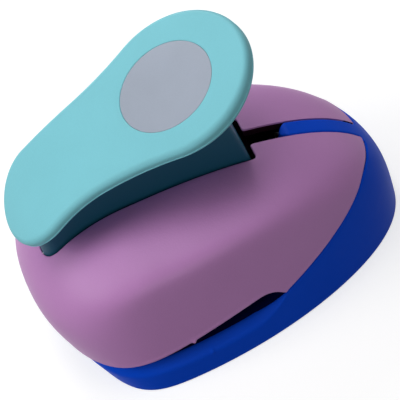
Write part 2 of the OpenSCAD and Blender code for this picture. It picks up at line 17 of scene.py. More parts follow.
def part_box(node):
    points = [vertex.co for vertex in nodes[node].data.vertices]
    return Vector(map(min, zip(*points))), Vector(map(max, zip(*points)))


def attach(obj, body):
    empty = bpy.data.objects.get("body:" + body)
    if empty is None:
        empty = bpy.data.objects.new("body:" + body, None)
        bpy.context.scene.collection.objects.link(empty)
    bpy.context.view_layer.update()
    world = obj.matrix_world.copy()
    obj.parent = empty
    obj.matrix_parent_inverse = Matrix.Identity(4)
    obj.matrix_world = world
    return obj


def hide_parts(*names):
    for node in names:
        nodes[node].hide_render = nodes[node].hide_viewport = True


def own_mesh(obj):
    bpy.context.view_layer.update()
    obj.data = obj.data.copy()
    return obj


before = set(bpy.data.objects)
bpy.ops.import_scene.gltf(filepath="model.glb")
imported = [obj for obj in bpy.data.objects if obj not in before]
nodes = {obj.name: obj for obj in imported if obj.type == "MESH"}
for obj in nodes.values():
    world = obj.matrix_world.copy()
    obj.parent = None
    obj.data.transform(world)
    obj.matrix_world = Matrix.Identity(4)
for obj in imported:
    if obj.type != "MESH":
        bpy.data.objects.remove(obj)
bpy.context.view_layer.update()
MM = 0.001

# %% [markdown]
# ## Camera
# The photograph looks down on the punch from its right side, with the picture rolled so that the body
# seems to climb. A perspective fit to the photograph's outline gave the viewing angle, the distance and
# the point that the lens looks at. The frame is a square of 400 pixels.

# %% Camera
VIEW_AZIMUTH, VIEW_ELEVATION, VIEW_ROLL = 85.163, 49.955, 20.072
VIEW_DISTANCE = 589.4
PIXELS_PER_MM = 3.93
VIEW_CENTRE = np.array([0.0, -3.2, 25.0])
AXIS_PIXEL = (187.1, 200.6)
FRAME_PIXELS = 400

az, el, roll = np.radians([VIEW_AZIMUTH, VIEW_ELEVATION, VIEW_ROLL])
towards = np.array([math.sin(az) * math.cos(el), -math.cos(az) * math.cos(el), math.sin(el)])
level = np.array([math.cos(az), math.sin(az), 0.0])
upward = np.cross(towards, level)
right = level * math.cos(roll) - upward * math.sin(roll)
up = level * math.sin(roll) + upward * math.cos(roll)

camera_data = bpy.data.cameras.new("camera")
camera = bpy.data.objects.new("camera", camera_data)
bpy.context.scene.collection.objects.link(camera)
turn = Matrix(np.array([right, up, towards]).T.tolist()).to_4x4()
camera.matrix_world = Matrix.Translation(Vector((VIEW_CENTRE + VIEW_DISTANCE * towards) * MM)) @ turn
camera_data.sensor_width = 36.0
camera_data.lens = PIXELS_PER_MM * VIEW_DISTANCE * camera_data.sensor_width / FRAME_PIXELS
camera_data.shift_x = (FRAME_PIXELS / 2 - AXIS_PIXEL[0]) / FRAME_PIXELS
camera_data.shift_y = (AXIS_PIXEL[1] - FRAME_PIXELS / 2) / FRAME_PIXELS
camera_data.clip_start = 0.01
bpy.context.scene.camera = camera
print("lens", round(camera_data.lens, 1), "mm")

# %% [markdown]
# ## Shader arithmetic
# A finish is a small tree of nodes. Wiring Math nodes by hand is hard to read, so one class wraps a socket
# and turns Python's operators into Math nodes, and one method adds any other node with its settings and
# links. The same method serves the materials and the world. Colours are mixed by Mix nodes, because a Math
# node would turn a colour grey.


# %% Shader arithmetic
class Wire:
    """A value in a node tree: adding, subtracting or multiplying it adds a Math node."""

    def __init__(self, owner, socket):
        self.owner = owner
        self.socket = socket

    def _math(self, operation, first, second):
        return self.owner.node("ShaderNodeMath", {"operation": operation}, {0: first, 1: second})

    def __add__(self, other):
        return self._math("ADD", self, other)

    def __radd__(self, other):
        return self._math("ADD", other, self)

    def __sub__(self, other):
        return self._math("SUBTRACT", self, other)

    def __rsub__(self, other):
        return self._math("SUBTRACT", other, self)

    def __mul__(self, other):
        return self._math("MULTIPLY", self, other)

    def __rmul__(self, other):
        return self._math("MULTIPLY", other, self)


class Nodes:
    """An emptied node tree: node() adds any node, sets it, links its inputs and hands back one output."""

    def __init__(self, tree):
        self.tree = tree
        self.tree.nodes.clear()

    def node(self, kind, settings, sockets, output=0):
        made = self.tree.nodes.new(kind)
        for key, value in settings.items():
            setattr(made, key, value)
        for key, value in sockets.items():
            if isinstance(value, Wire):
                self.tree.links.new(value.socket, made.inputs[key])
            else:
                made.inputs[key].default_value = value
        return Wire(self, made.outputs[output]) if made.outputs else None


class Finish(Nodes):
    """A procedural material over the piece's own coordinates."""

    def __init__(self, name):
        self.material = bpy.data.materials.new(name)
        self.material.use_nodes = True
        super().__init__(self.material.node_tree)
        self.place = self.node("ShaderNodeTexCoord", {}, {}, "Object")

    def noise(self, scale, detail=2.0, roughness=0.5):
        """Noise in 0..1, scale in cycles a metre."""
        return self.node("ShaderNodeTexNoise", {}, {"Vector": self.place, "Scale": scale, "Detail": detail,
                                                    "Roughness": roughness})

    def ramp(self, value, low, high):
        """The value carried from low..high to 0..1 and held there outside."""
        return self.node("ShaderNodeMapRange", {}, {"Value": value, "From Min": low, "From Max": high})

    def mix(self, factor, a, b):
        return self.node("ShaderNodeMix", {"data_type": "RGBA"}, {"Factor": factor, 6: a, 7: b}, 2)

    def surface(self, shader):
        self.node("ShaderNodeOutputMaterial", {}, {"Surface": shader})
        return self.material

    def done(self, sockets):
        return self.surface(self.node("ShaderNodeBsdfPrincipled", {}, sockets))


def srgb(r, g, b):
    """A colour as seen, 0..255, turned to the linear colour that the shader takes."""
    seen = np.array([r, g, b]) / 255.0
    linear = np.where(seen <= 0.04045, seen / 12.92, ((seen + 0.055) / 1.055) ** 2.4)
    return (*[float(c) for c in linear], 1.0)


print("shader arithmetic ready")

# %% [markdown]
# ## Moulded plastics
# The shell, the base and the lever are injection moulded, each in its own through colour. Real mouldings
# are not one flat colour: the surface carries a very fine spark texture that makes the gloss satin, a soft
# cloudiness where the melt flowed, faint sink, and rubbed spots from handling. Each of these is a noise at
# its own scale that feeds the colour, the roughness and a shallow bump. The insides of the shell and of the
# base's edge and the lever's skirt lie in shade, and their much darker finishes are painted shade.


# %% Moulded plastics
def moulded(name, colour, rough, grain, shine):
    """Plastic finish: cloud = slow noise between two near colours, grain = fine bump, rub = shinier spots."""
    f = Finish(name)
    cloud = f.ramp(f.noise(38.0, 3.0), 0.3, 0.7)
    speck = f.noise(2600.0, 2.0, 0.6)
    rub = f.ramp(f.noise(140.0, 4.0, 0.62), 0.56, 0.76)
    deeper = [c * 0.93 for c in colour[:3]] + [1.0]
    lighter = [c * 1.12 for c in colour[:3]] + [1.0]
    tone = f.mix(speck * 0.5, f.mix(cloud, colour, deeper), lighter)
    roughness = rough + 0.05 * cloud + 0.07 * (speck - 0.5) - 0.07 * rub
    height = speck * 0.7 + f.noise(900.0, 2.0) * 0.5
    bump = f.node("ShaderNodeBump", {}, {"Strength": grain, "Distance": 0.00006, "Height": height})
    return f.done({"Base Color": tone, "Roughness": roughness, "Normal": bump, "IOR": 1.5,
                   "Specular IOR Level": shine})


violet_plastic = moulded("violet_plastic", srgb(197, 138, 199), 0.42, 0.7, 0.34)
# Painted shade: a near-black violet for the shell's inner surfaces, standing in for the shade inside the
# shell.
violet_painted_shade = moulded("violet_painted_shade", srgb(34, 8, 24), 0.7, 0.35, 0.05)
blue_plastic = moulded("blue_plastic", srgb(6, 78, 222), 0.46, 0.25, 0.06)
# Painted shade: a near-black blue for the base's inner edge, standing in for the shade under the shell's rim.
blue_painted_shade = moulded("blue_painted_shade", srgb(5, 11, 66), 0.7, 0.25, 0.03)
turquoise_plastic = moulded("turquoise_plastic", srgb(133, 209, 221), 0.46, 0.35, 0.12)
# Painted shade: a deep turquoise for the lever's skirt, standing in for the shade under the paddle.
turquoise_painted_shade = moulded("turquoise_painted_shade", srgb(21, 83, 106), 0.42, 0.35, 0.2)
black_plastic = moulded("black_plastic", srgb(34, 34, 36), 0.5, 0.4, 0.3)
print("plastics:", violet_plastic.name, blue_plastic.name, turquoise_plastic.name, black_plastic.name)

# %% [markdown]
# ## The disc's foil and the steel
# The grey disc on the lever is a thin satin inlay. It shows the cut shape at full size, and is a little
# metallic, with a very fine speckle. The plates, pins and screws inside are steel: ground flat with fine
# straight lines, or turned and plated. The hinge's parts have a dark finish, which is only a guess, because
# the photograph doesn't show them.


# %% Foil and steel
def satin_foil():
    """Grey inlay: fine speckle and slow clouds in colour and roughness, low metallic."""
    f = Finish("grey_foil")
    cloud = f.ramp(f.noise(60.0, 3.0), 0.3, 0.7)
    speck = f.noise(3200.0, 2.0, 0.6)
    tone = f.mix(cloud, srgb(151, 160, 176), srgb(145, 154, 169))
    tone = f.mix(speck * 0.1, tone, srgb(225, 230, 238))
    bump = f.node("ShaderNodeBump", {}, {"Strength": 0.25, "Distance": 0.00004, "Height": speck})
    roughness = 0.5 + 0.1 * (speck - 0.5) + 0.05 * cloud
    return f.done({"Base Color": tone, "Roughness": roughness, "Metallic": 0.15, "Normal": bump})


def ground_steel(name, colour, dull, stretch, bright=0.25):
    """Steel: stretched noise for the grinding lines, and slow stains in colour and roughness."""
    f = Finish(name)
    along = f.node("ShaderNodeMapping", {}, {"Vector": f.place, "Scale": stretch})
    lines = f.node("ShaderNodeTexNoise", {}, {"Vector": along, "Scale": 1.0, "Detail": 3.0, "Roughness": 0.6})
    stain = f.ramp(f.noise(90.0, 4.0, 0.6), 0.35, 0.75)
    tone = f.mix(stain, colour, dull)
    tone = f.mix(lines * bright, tone, srgb(232, 234, 238))
    bump = f.node("ShaderNodeBump", {}, {"Strength": 0.3, "Distance": 0.00005, "Height": lines})
    roughness = 0.26 + 0.16 * lines + 0.1 * stain
    return f.done({"Base Color": tone, "Metallic": 1.0, "Roughness": roughness, "Normal": bump})


grey_foil = satin_foil()
plate_steel = ground_steel("plate_steel", srgb(186, 188, 192), srgb(160, 162, 168), (260.0, 5200.0, 5200.0))
screw_steel = ground_steel("screw_steel", srgb(168, 170, 174), srgb(138, 140, 146), (2400.0, 2400.0, 2400.0))
dark_steel = ground_steel("dark_steel", srgb(40, 40, 44), srgb(26, 26, 30), (260.0, 5200.0, 5200.0), 0.04)
print("foil and steel:", grey_foil.name, plate_steel.name, screw_steel.name, dark_steel.name)

# %% [markdown]
# ## From arrays to a piece
# Every new piece is an array of points and an array of faces. A grid of points gets its faces from index
# arithmetic; rows or columns may close on themselves. The sign of the enclosed volume says whether the
# faces point outwards, and they are turned if they don't.


# %% From arrays to a piece
def grid_faces(rows, cols, close_rows=False, close_cols=False):
    """Quads of a grid numbered row by row: corner (i, j), its right, diagonal and lower neighbours."""
    i = np.arange(rows if close_rows else rows - 1)[:, None]
    j = np.arange(cols if close_cols else cols - 1)[None, :]
    i2, j2 = (i + 1) % rows, (j + 1) % cols
    quads = np.stack(np.broadcast_arrays(i * cols + j, i * cols + j2, i2 * cols + j2, i2 * cols + j), -1)
    return list(quads.reshape(-1, 4))


def tube_faces(rows, cols):
    """Quads of a grid whose columns close, with one polygon over its first row and one over its last."""
    last = (rows - 1) * cols
    return grid_faces(rows, cols, close_cols=True) + [range(cols)[::-1], range(last, last + cols)]


def volume_of(points, faces):
    """Signed volume: the sum over each face's fan of triangles of one sixth of the triple product."""
    total = 0.0
    for size in sorted({len(f) for f in faces}):
        block = points[np.array([f for f in faces if len(f) == size])]
        for k in range(1, size - 1):
            total += np.einsum("ij,ij->i", block[:, 0], np.cross(block[:, k], block[:, k + 1])).sum() / 6.0
    return total


def shell_of(points, faces):
    """Points in mm and faces of one closed shell, with the faces turned outwards."""
    faces = [tuple(f) for f in faces]
    if volume_of(points, faces) < 0:
        faces = [f[::-1] for f in faces]
    return points, faces


def faces_at_edges(mesh):
    """How many faces use each edge, by counting the loops that name it."""
    edge_of_loop = np.zeros(len(mesh.loops), np.int32)
    mesh.loops.foreach_get("edge_index", edge_of_loop)
    return np.bincount(edge_of_loop, minlength=len(mesh.edges))


WELD, DEGENERATE, SHARP_ANGLE = 2e-7, 1e-7, math.radians(38.0)


def make_piece(name, shells, materials, body, replaced, finish_of_face=None):
    """One object from closed shells, welded at its poles, smooth up to the sharp angle.

    Each shell takes one finish in turn, unless worn gives the finish of each face."""
    points = np.vstack([p for p, _ in shells]) * MM
    offsets = np.cumsum([0] + [len(p) for p, _ in shells])
    faces = [tuple(int(i) + int(o) for i in f) for (_, fs), o in zip(shells, offsets) for f in fs]
    mesh = bpy.data.meshes.new(name)
    mesh.from_pydata(points.tolist(), [], faces)
    if finish_of_face is None:
        finish_of_face = np.repeat(np.arange(len(shells)) % len(materials), [len(fs) for _, fs in shells])
    mesh.polygons.foreach_set("material_index", finish_of_face.astype(np.int32))
    work = bmesh.new()
    work.from_mesh(mesh)
    bmesh.ops.remove_doubles(work, verts=work.verts, dist=WELD)
    bmesh.ops.dissolve_degenerate(work, edges=work.edges, dist=DEGENERATE)
    work.to_mesh(mesh)
    work.free()
    mesh.shade_smooth()
    mesh.set_sharp_from_angle(angle=SHARP_ANGLE)
    for material in materials:
        mesh.materials.append(material)
    piece = bpy.data.objects.new(name, mesh)
    bpy.context.scene.collection.objects.link(piece)
    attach(piece, body)
    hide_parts(*replaced)
    loose = int((faces_at_edges(mesh) != 2).sum())
    print(name, len(mesh.vertices), "points", len(mesh.polygons), "faces", loose, "edges not shared by two")
    return piece


print("piece helpers ready")

# %% [markdown]
# ## The body's envelope
# The shell and the base share one outer surface, so that the seam between them is flush. It is a dome whose
# sides are trimmed by walls that lean in, with a soft ridge where the two meet. At each height the plans of
# the dome and of the walls are each two half superellipses, joined at the widest place, and the ridge is a
# soft minimum of the two. The CAD model uses the same curves with a slightly softer ridge.

# %% The body's envelope
FOOT_HALF, SIDE_LEAN, DOME_HALF = 34.05, math.tan(math.radians(8.0)), 41.8
FRONT_Y, RIM_FRONT_Y, BASE_FRONT_Y, REAR_Y = -49.1, -47.3, -42.9, 49.1
CREST_Z, CREST_Y, DOME_FROM, FRONT_Z, WIDE_Y, SEAM_Z = 42.0, -19.3, 28.0, 20.5, -18.3, 10.6
SIDE_BOW, FRONT_BOW, REAR_BOW = (5.0, 1.61), (2.0, 1.85), (3.3, 2.05)
WALL_PLAN, DOME_PLAN, WALL_OVER = (2.75, 1.88), (1.9, 2.8), (0.9, 3.8)
RIDGE = 14.0
WALL = 2.4


def mix(a, b, t):
    return a + (b - a) * t


def smooth(t):
    u = np.clip(t, 0, 1)
    return u * u * (3 - 2 * u)


def unit(vectors):
    return vectors / np.linalg.norm(vectors, axis=-1, keepdims=True)


def signed_power(a, e):
    """The size of a to the power e, with a's sign."""
    return np.sign(a) * np.abs(a) ** e


def bowed(share, bow):
    """Superellipse quarter: what is left of 1 at that share, with one exponent for each axis."""
    return np.clip(1 - np.clip(share, 0, 1) ** bow[0], 1e-9, 1) ** (1 / bow[1])


def wall_x(z):
    """Half width of the side walls: straight, leaning in."""
    return FOOT_HALF - z * SIDE_LEAN


def dome_x(z):
    """Half width of the dome, before the walls trim it."""
    return DOME_HALF * bowed(z / CREST_Z, SIDE_BOW)


def fore_y(z):
    """Front of the body: a sloping foot up to the seam, an eased wall to the fullest, then the dome."""
    low = mix(BASE_FRONT_Y, RIM_FRONT_Y, z / SEAM_Z)
    t = np.clip((z - SEAM_Z) / (FRONT_Z - SEAM_Z), 0, 1)
    middle = mix(RIM_FRONT_Y, FRONT_Y, 1 - (1 - t) ** 2)
    high = mix(CREST_Y, FRONT_Y, bowed((z - FRONT_Z) / (CREST_Z - FRONT_Z), FRONT_BOW))
    return np.where(z < SEAM_Z, low, np.where(z < FRONT_Z, middle, high))


def aft_y(z):
    """Rear of the body: a superellipse from the foot to the crest."""
    return mix(CREST_Y, REAR_Y, bowed(z / CREST_Z, REAR_BOW))


def mid_y(z):
    """Widest place, which moves to the crest's place over the dome."""
    return mix(WIDE_Y, CREST_Y, np.clip((z - DOME_FROM) / (CREST_Z - DOME_FROM), 0, 1))


def soft_smaller(a, b):
    """Smaller of two lengths with the change between them eased: the inverse powers are added."""
    return (a ** -RIDGE + b ** -RIDGE) ** (-1 / RIDGE)


def plan_sizes(z, front):
    """Middle, runs and exponents of the side walls' plan and of the dome's plan, in front or behind."""
    m = mid_y(z)
    run = np.where(front, m - fore_y(z), aft_y(z) - m)
    wall_run = np.where(front, WIDE_Y - FRONT_Y + WALL_OVER[0], REAR_Y - WIDE_Y + WALL_OVER[1])
    dome_run = (run ** -RIDGE - wall_run ** -RIDGE) ** (-1 / RIDGE)
    n_wall, n_dome = np.where(front, *WALL_PLAN), np.where(front, *DOME_PLAN)
    return m, run, wall_run, dome_run, n_wall, n_dome


def outness(x, y, z):
    """1 on the skin, less inside it: the dome's and the side walls' superellipses with a soft ridge."""
    m, _, wall_run, dome_run, n_wall, n_dome = plan_sizes(z, y < mid_y(z))
    v = np.abs(y - m)
    in_wall = (np.abs(x / wall_x(z)) ** n_wall + (v / wall_run) ** n_wall) ** (1 / n_wall)
    in_dome = (np.abs(x / dome_x(z)) ** n_dome + (v / dome_run) ** n_dome) ** (1 / n_dome)
    return (in_wall ** RIDGE + in_dome ** RIDGE) ** (1 / RIDGE)


def skin(phi, z):
    """Point of the skin at plan angle phi and height z: a superellipse's point, drawn to outness 1."""
    phi, z = np.broadcast_arrays(np.asarray(phi, float), np.asarray(z, float))
    c, s = np.cos(phi), np.sin(phi)
    m, run, _, _, n_wall, _ = plan_sizes(z, s < 0)
    x = soft_smaller(wall_x(z), dome_x(z)) * signed_power(c, 2 / n_wall)
    v = run * signed_power(s, 2 / n_wall)
    k = 1 / outness(x, m + v, z)
    return np.stack([k * x, m + k * v, z], -1)


def skin_frame(phi, z):
    """Outward unit normal, and length of surface per unit of height, by central differences of the skin."""
    d_phi, d_z = 2e-3, 2e-3
    along = skin(phi + d_phi, z) - skin(phi - d_phi, z)
    rise = (skin(phi, z + d_z) - skin(phi, z - d_z)) / (2 * d_z)
    normal = np.cross(along, rise)
    return unit(normal), np.linalg.norm(rise, axis=-1)


def rear_skin(x, z):
    """Point of the skin behind the middle at that x and z, by halving along y, and its outward normal."""
    low, high = mid_y(z) + 0 * x, aft_y(z) + 0 * x + 1.0
    for _ in range(40):
        middle = (low + high) / 2
        inside = outness(x, middle, z) < 1
        low, high = np.where(inside, middle, low), np.where(inside, high, middle)
    d = 1e-3
    slope = [(outness(x + a, low + b, z + c) - outness(x - a, low - b, z - c))
             for a, b, c in ((d, 0, 0), (0, d, 0), (0, 0, d))]
    normal = np.stack(slope, -1)
    return np.stack([x, low, z], -1), unit(normal)


def crest_line(y):
    """Height of the crest behind the apex: the rear superellipse solved for height."""
    return CREST_Z * (1 - (np.abs(y - CREST_Y) / (REAR_Y - CREST_Y)) ** REAR_BOW[1]) ** (1 / REAR_BOW[0])


def curve(*anchors, n=24):
    """Bezier curve through its first and last anchors, drawn towards the others, by repeated blending."""
    t = np.linspace(0, 1, n)[:, None]
    points = [np.array(a, float) + 0 * t for a in anchors]
    while len(points) > 1:
        points = [mix(a, b, t) for a, b in zip(points, points[1:])]
    return points[0]


print("half width at the foot, the seam and the ridge:",
      [round(float(skin(0.0, z)[0]), 2) for z in (0.5, SEAM_Z, 34.0)], "mm")

# %% [markdown]
# ## Seams in side view
# Three curves divide the body: the rim of the housing above the paper slot, the hook where the rim dips to
# the throat, and the sweep up over the heel. They are heights as a function of the place along the body.

# %% Seams in side view
DIE_Z, RIM_Z, RIM_RISE = 8.8, 10.0, 4.7
CUSP = np.array([9.8, 11.0])
HEEL_END = np.array([REAR_Y - 4.7, 22.6])
HOOK_Y, RIM_FROM, RIM_TO = CUSP[0] - 6.2, FRONT_Y + 11.6, CUSP[0] - 1.1
SEAM_GAP = 0.25

heel_sweep = curve(CUSP, CUSP + [33, 10.5], HEEL_END + [-8, 3.3], HEEL_END, n=90)
rim_y = np.linspace(-60, HOOK_Y, 80)
rim_line = np.stack([rim_y, RIM_Z + RIM_RISE * smooth((rim_y - RIM_FROM) / (RIM_TO - RIM_FROM))], -1)
hook_line = curve(rim_line[-1], (CUSP[0] - 2.6, rim_line[-1, 1] - 0.1), CUSP)
throat_line = curve((CUSP[0] - 11, DIE_Z), (CUSP[0] - 4, DIE_Z), CUSP)
heel_line = np.vstack([heel_sweep[1:], [[80, HEEL_END[1]]]])
housing_low = np.vstack([rim_line, hook_line[1:], heel_line + [0, SEAM_GAP]])
base_high = np.vstack([[[-80, DIE_Z]], throat_line, heel_line])


def height_on(line, y):
    return np.interp(y, line[:, 0], line[:, 1])


print("rim at the die:", round(float(height_on(housing_low, -15.0)), 2), "mm")

# %% [markdown]
# ## Upper housing
# The violet shell is a hollow dome with a long opening for the lever, a slot for the spine and a rolled rim.
# It could be cut from a dome with booleans, but cuts leave ragged faces along the edges. Here each column
# of the grid runs up the skin from the rim to the opening, both found by halving, so that the edges are
# clean lines that can be rolled to a radius and then turned in to the inner wall. Near the opening the wall
# goes straight down, so that the lever clears it. A small index tooth with a rib hangs from the rim near the
# middle of the die.

# %% Upper housing
SKIRT_HALF, SKIRT_FRONT_Y, SKIRT_REAR_Y = 7.1, -41.9, 15.1
OPENING_HALF, OPENING_FRONT_Y = SKIRT_HALF + 0.45, SKIRT_FRONT_Y - 0.1
OPENING_REAR_Y = SKIRT_REAR_Y + 1.0
FRONT_CORNER, REAR_CORNER, SLOT_CORNER, HEEL_CORNER = 4.2, 1.2, 0.6, 0.35
SPINE_HALF = 2.4
MARK_Y, MARK_WIDE, MARK_TALL, RIB_TALL, RIB_PROUD = -16.3, 0.5, 0.6, 2.6, 0.25
SLOT_HALF = SPINE_HALF + SEAM_GAP


def soft_least(a, b, k):
    """Smaller of two distances, with the corner between them eased over k."""
    h = np.clip(0.5 + 0.5 * (b - a) / k, 0, 1)
    return mix(b, a, h) - k * h * (1 - h)


def clear_of_openings(x, y):
    """Distance to the nearer of the lever's opening, a box with round corners, and the spine's slot."""
    cy, half = (OPENING_FRONT_Y + OPENING_REAR_Y) / 2, (OPENING_REAR_Y - OPENING_FRONT_Y) / 2
    r = np.where(y < cy, FRONT_CORNER, REAR_CORNER)
    qx, qy = np.abs(x) - (OPENING_HALF - r), np.abs(y - cy) - (half - r)
    box = np.hypot(np.maximum(qx, 0), np.maximum(qy, 0)) + np.minimum(np.maximum(qx, qy), 0) - r
    slot = np.where(y > OPENING_REAR_Y - 3, np.abs(x) - SLOT_HALF, 9.0)
    return soft_least(box, slot, SLOT_CORNER)


def inside_housing(phi, z):
    """Positive on the housing: clear of the openings and above the seam, the corner between them rounded."""
    p = skin(phi, z)
    a, b = clear_of_openings(p[..., 0], p[..., 1]), p[..., 2] - height_on(housing_low, p[..., 1])
    r = HEEL_CORNER
    round_corner = r - np.hypot(np.maximum(r - a, 0), np.maximum(r - b, 0))
    return np.where((a < r) & (b < r), round_corner, np.minimum(a, b))


def halve(inside, outside, phi, test):
    """Height between a point inside and a point outside where the test changes sign, by repeated halving."""
    for _ in range(36):
        middle = (inside + outside) / 2
        good = test(phi, middle) > 0
        inside, outside = np.where(good, middle, inside), np.where(good, outside, middle)
    return (inside + outside) / 2


def even_angles(start, end, count, z):
    """Plan angles from start to end that are evenly spaced along the skin at height z."""
    fine = np.linspace(start, end, 4000)
    step = np.linalg.norm(np.diff(skin(fine, z), axis=0), axis=1)
    length = np.concatenate([[0], np.cumsum(step)])
    return np.interp(np.linspace(0, length[-1], count), length, fine)


def roll_edge(radius, steps=6):
    """Distance from the edge and depth below the skin of a quarter round, from the edge inwards."""
    t = np.linspace(0, math.pi / 2, steps)[:, None]
    return radius * (1 - np.cos(t)), radius * (1 - np.sin(t))


levels = np.linspace(RIM_Z - 1, CREST_Z - 0.2, 260)[:, None]
trial = np.linspace(math.radians(60), math.radians(90), 1200)
last_angle = trial[(inside_housing(trial[None], levels) > 0.02).any(0)].max()
even = even_angles(-math.pi / 2, last_angle, 190, 22.0)
tail = last_angle - (last_angle - even[-14]) * (np.linspace(1, 0, 40)) ** 2
half_phi = np.concatenate([even[:-14], tail])
mark_y = MARK_Y + np.linspace(-3, 3, 17) * MARK_WIDE
mark_phi = np.interp(mark_y, skin(half_phi, RIM_Z + 2)[:, 1], half_phi)
half_phi = np.sort(np.concatenate([half_phi, mark_phi]))
test = inside_housing(half_phi[None], levels)
mid_level = levels[np.argmax(test, 0), 0]
bottom = halve(mid_level, np.full_like(half_phi, RIM_Z - 3), half_phi, inside_housing)
top = halve(mid_level, np.full_like(half_phi, CREST_Z - 0.01), half_phi, inside_housing)
print("housing columns", len(half_phi), "last angle", round(math.degrees(last_angle), 2))

# %% [markdown]
# ### Housing surface
# Half of the shell is worked out and mirrored. A fine bead follows the rim, as the edge of a mould leaves it,
# and the inner rows have a near-black finish, which is painted shade.

# %% Housing surface
RIM_ROLL, ROLL_SHARE = 0.5, 0.3
RIM_BEAD, BEAD_WIDE, BEAD_ROOM = 0.1, 0.3, 4.0
PLUMB_REACH = 3.0


def housing_grid():
    """Outer rows up the skin from rim to opening, rolled at the ends; inner rows back at the wall's depth."""
    mark = np.exp(-((skin(half_phi, bottom)[:, 1] - MARK_Y) / MARK_WIDE) ** 2)
    low = bottom - MARK_TALL * mark
    _, low_stretch = skin_frame(half_phi, low)
    _, top_stretch = skin_frame(half_phi, top)
    room = (top - low) * (low_stretch + top_stretch) / 2
    radius = np.minimum(RIM_ROLL, ROLL_SHARE * room)
    dist, depth = roll_edge(radius[None])
    low_rows, top_rows = low + dist / low_stretch, (top - dist / top_stretch)[::-1]
    near_rim = np.array([0.008, 0.016, 0.025, 0.036, 0.05])
    inner = np.concatenate([near_rim, np.linspace(0.07, 1, 60)[:-1]])[:, None]
    middle = mix(low_rows[-1], top_rows[0], inner)
    z = np.vstack([low_rows, middle, top_rows])
    deep = np.vstack([depth, np.zeros_like(middle), depth[::-1]])
    phi = np.broadcast_to(half_phi, z.shape)
    p = skin(phi, z)
    n, _ = skin_frame(phi, z)
    from_rim = (z - low) * low_stretch
    bead = RIM_BEAD * np.exp(-((from_rim - RIM_ROLL - BEAD_WIDE) / BEAD_WIDE) ** 2) * (room > BEAD_ROOM)
    rib = bead + RIB_PROUD * mark * smooth(1 - (z - low) / RIB_TALL)
    plumb = smooth(1 - clear_of_openings(p[..., 0], p[..., 1]) / PLUMB_REACH)
    plumb = (plumb * smooth((OPENING_REAR_Y - p[..., 1]) / PLUMB_REACH + 1))[..., None]
    way = unit(mix(n, np.array([0.0, 0.0, 1.0]), plumb))
    outer = p - way * (deep - rib)[..., None]
    back = slice(None, None, -2)
    wall = np.maximum(WALL, deep[back])[..., None]
    inside = p[back] - way[back] * wall
    return outer, inside


outer_rows, inner_rows = housing_grid()
right_half = np.vstack([outer_rows, inner_rows])
left_half = right_half[:, :0:-1] * [-1, 1, 1]
housing_points = np.concatenate([left_half, right_half], 1)
rows, cols = housing_points.shape[:2]
housing_faces = grid_faces(rows, cols, close_rows=True)
housing_faces += [range(0, rows * cols, cols)[::-1], range(cols - 1, rows * cols, cols)]
housing_shell = shell_of(housing_points.reshape(-1, 3), housing_faces)
# The inner rows, the rim's wall faces and the two end caps take the near-black violet: painted shade.
within = np.arange(rows) >= len(outer_rows) - 1
housing_painted_shade = np.repeat(within.astype(int), cols - 1)
housing_painted_shade = np.append(housing_painted_shade, [1, 1])
make_piece("housing_shell", [housing_shell], [violet_plastic, violet_painted_shade], "body",
           ["upper_housing"], finish_of_face=housing_painted_shade)

# %% [markdown]
# ## Base: tray, heel and lead-in
# The blue base is a tray with a sloping lead-in round the paper slot. Behind the throat its wall climbs
# into the heel. One profile goes round the whole body: underside, rounded foot, wall, lead-in or edge,
# inner wall, floor, the collar round the chip outlet, and back. Its sizes change along the way, so the wide
# lead-in at the front fades to a small edge round at the heel.

# %% Base profile
TRAY_WALL, FLOOR_T, DIE_BOTTOM = 5.0, 2.4, 4.8
LEDGE_W, LEDGE_H, LEDGE_TAPER, LEDGE_CURVE = 1.7, 2.6, 9.0, 0.8
EDGE, EDGE_SHARE, LEDGE_LOW_R, LEDGE_TOP_R = 0.35, 0.3, 0.8, 0.35
TRAY_BELOW, TRAY_OVER, ROOT_EASE, ROOT_FROM_Y, ROOT_STEP = 12.0, 2.0, 0.3, 30.0, 9.0
LIP_MARK_Y, LIP_MARK_PROUD = -12.9, 0.28
FOOT_ROLL = 0.45
OUTLET_Y, OUTLET_R, COLLAR_R = -14.7, 15.0, 17.5
SPINE_FLARE = 1.2
LEVEL_BELOW, LEVEL_OVER, OUTLET_EDGE = 14.0, 3.0, 0.4
ROOT_HALF = SPINE_HALF + SPINE_FLARE


def base_top(phi):
    """Height of the base's edge at each plan angle, by stepping the seam's height until it settles."""
    z = np.full_like(phi, 12.0)
    for _ in range(60):
        z = mix(z, height_on(base_high, skin(phi, z)[..., 1]), 0.6)
    return z


def corner(before, at, after, steps=5):
    """Rows of a quadratic round from one (height, depth) pair to another, drawn towards the corner."""
    t = np.linspace(0, 1, steps)[:, None]
    return [(1 - t) ** 2 * a + 2 * t * (1 - t) * c + t * t * b for a, c, b in zip(before, at, after)]


cusp_fine = np.linspace(-0.2, 1.2, 3000)
cusp_gap = skin(cusp_fine, CUSP[1])[:, 1] - CUSP[0]
cusp_phi = float(cusp_fine[np.argmin(np.abs(cusp_gap))])
root_x = np.linspace(ROOT_HALF, 0, 14)
rear_phi = np.linspace(math.pi / 2, 0.8, 4000)
root_phi = np.interp(root_x, skin(rear_phi, HEEL_END[1])[:, 0], rear_phi)
base_phi_right = np.concatenate([even_angles(-math.pi / 2, cusp_phi, 120, 6.0)[:-1],
                                 even_angles(cusp_phi, root_phi[0], 80, 12.0)[:-1], root_phi])
lip_mark_y = LIP_MARK_Y + np.linspace(-3, 3, 13) * MARK_WIDE
lip_mark_phi = np.interp(lip_mark_y, skin(base_phi_right, 6.5)[:, 1], base_phi_right)
base_phi_right = np.sort(np.concatenate([base_phi_right, lip_mark_phi]))
base_phi = np.concatenate([base_phi_right, math.pi - base_phi_right[-2:0:-1]])
base_z = base_top(base_phi)
print("base columns", len(base_phi), "cusp at", round(math.degrees(cusp_phi), 1), "degrees")

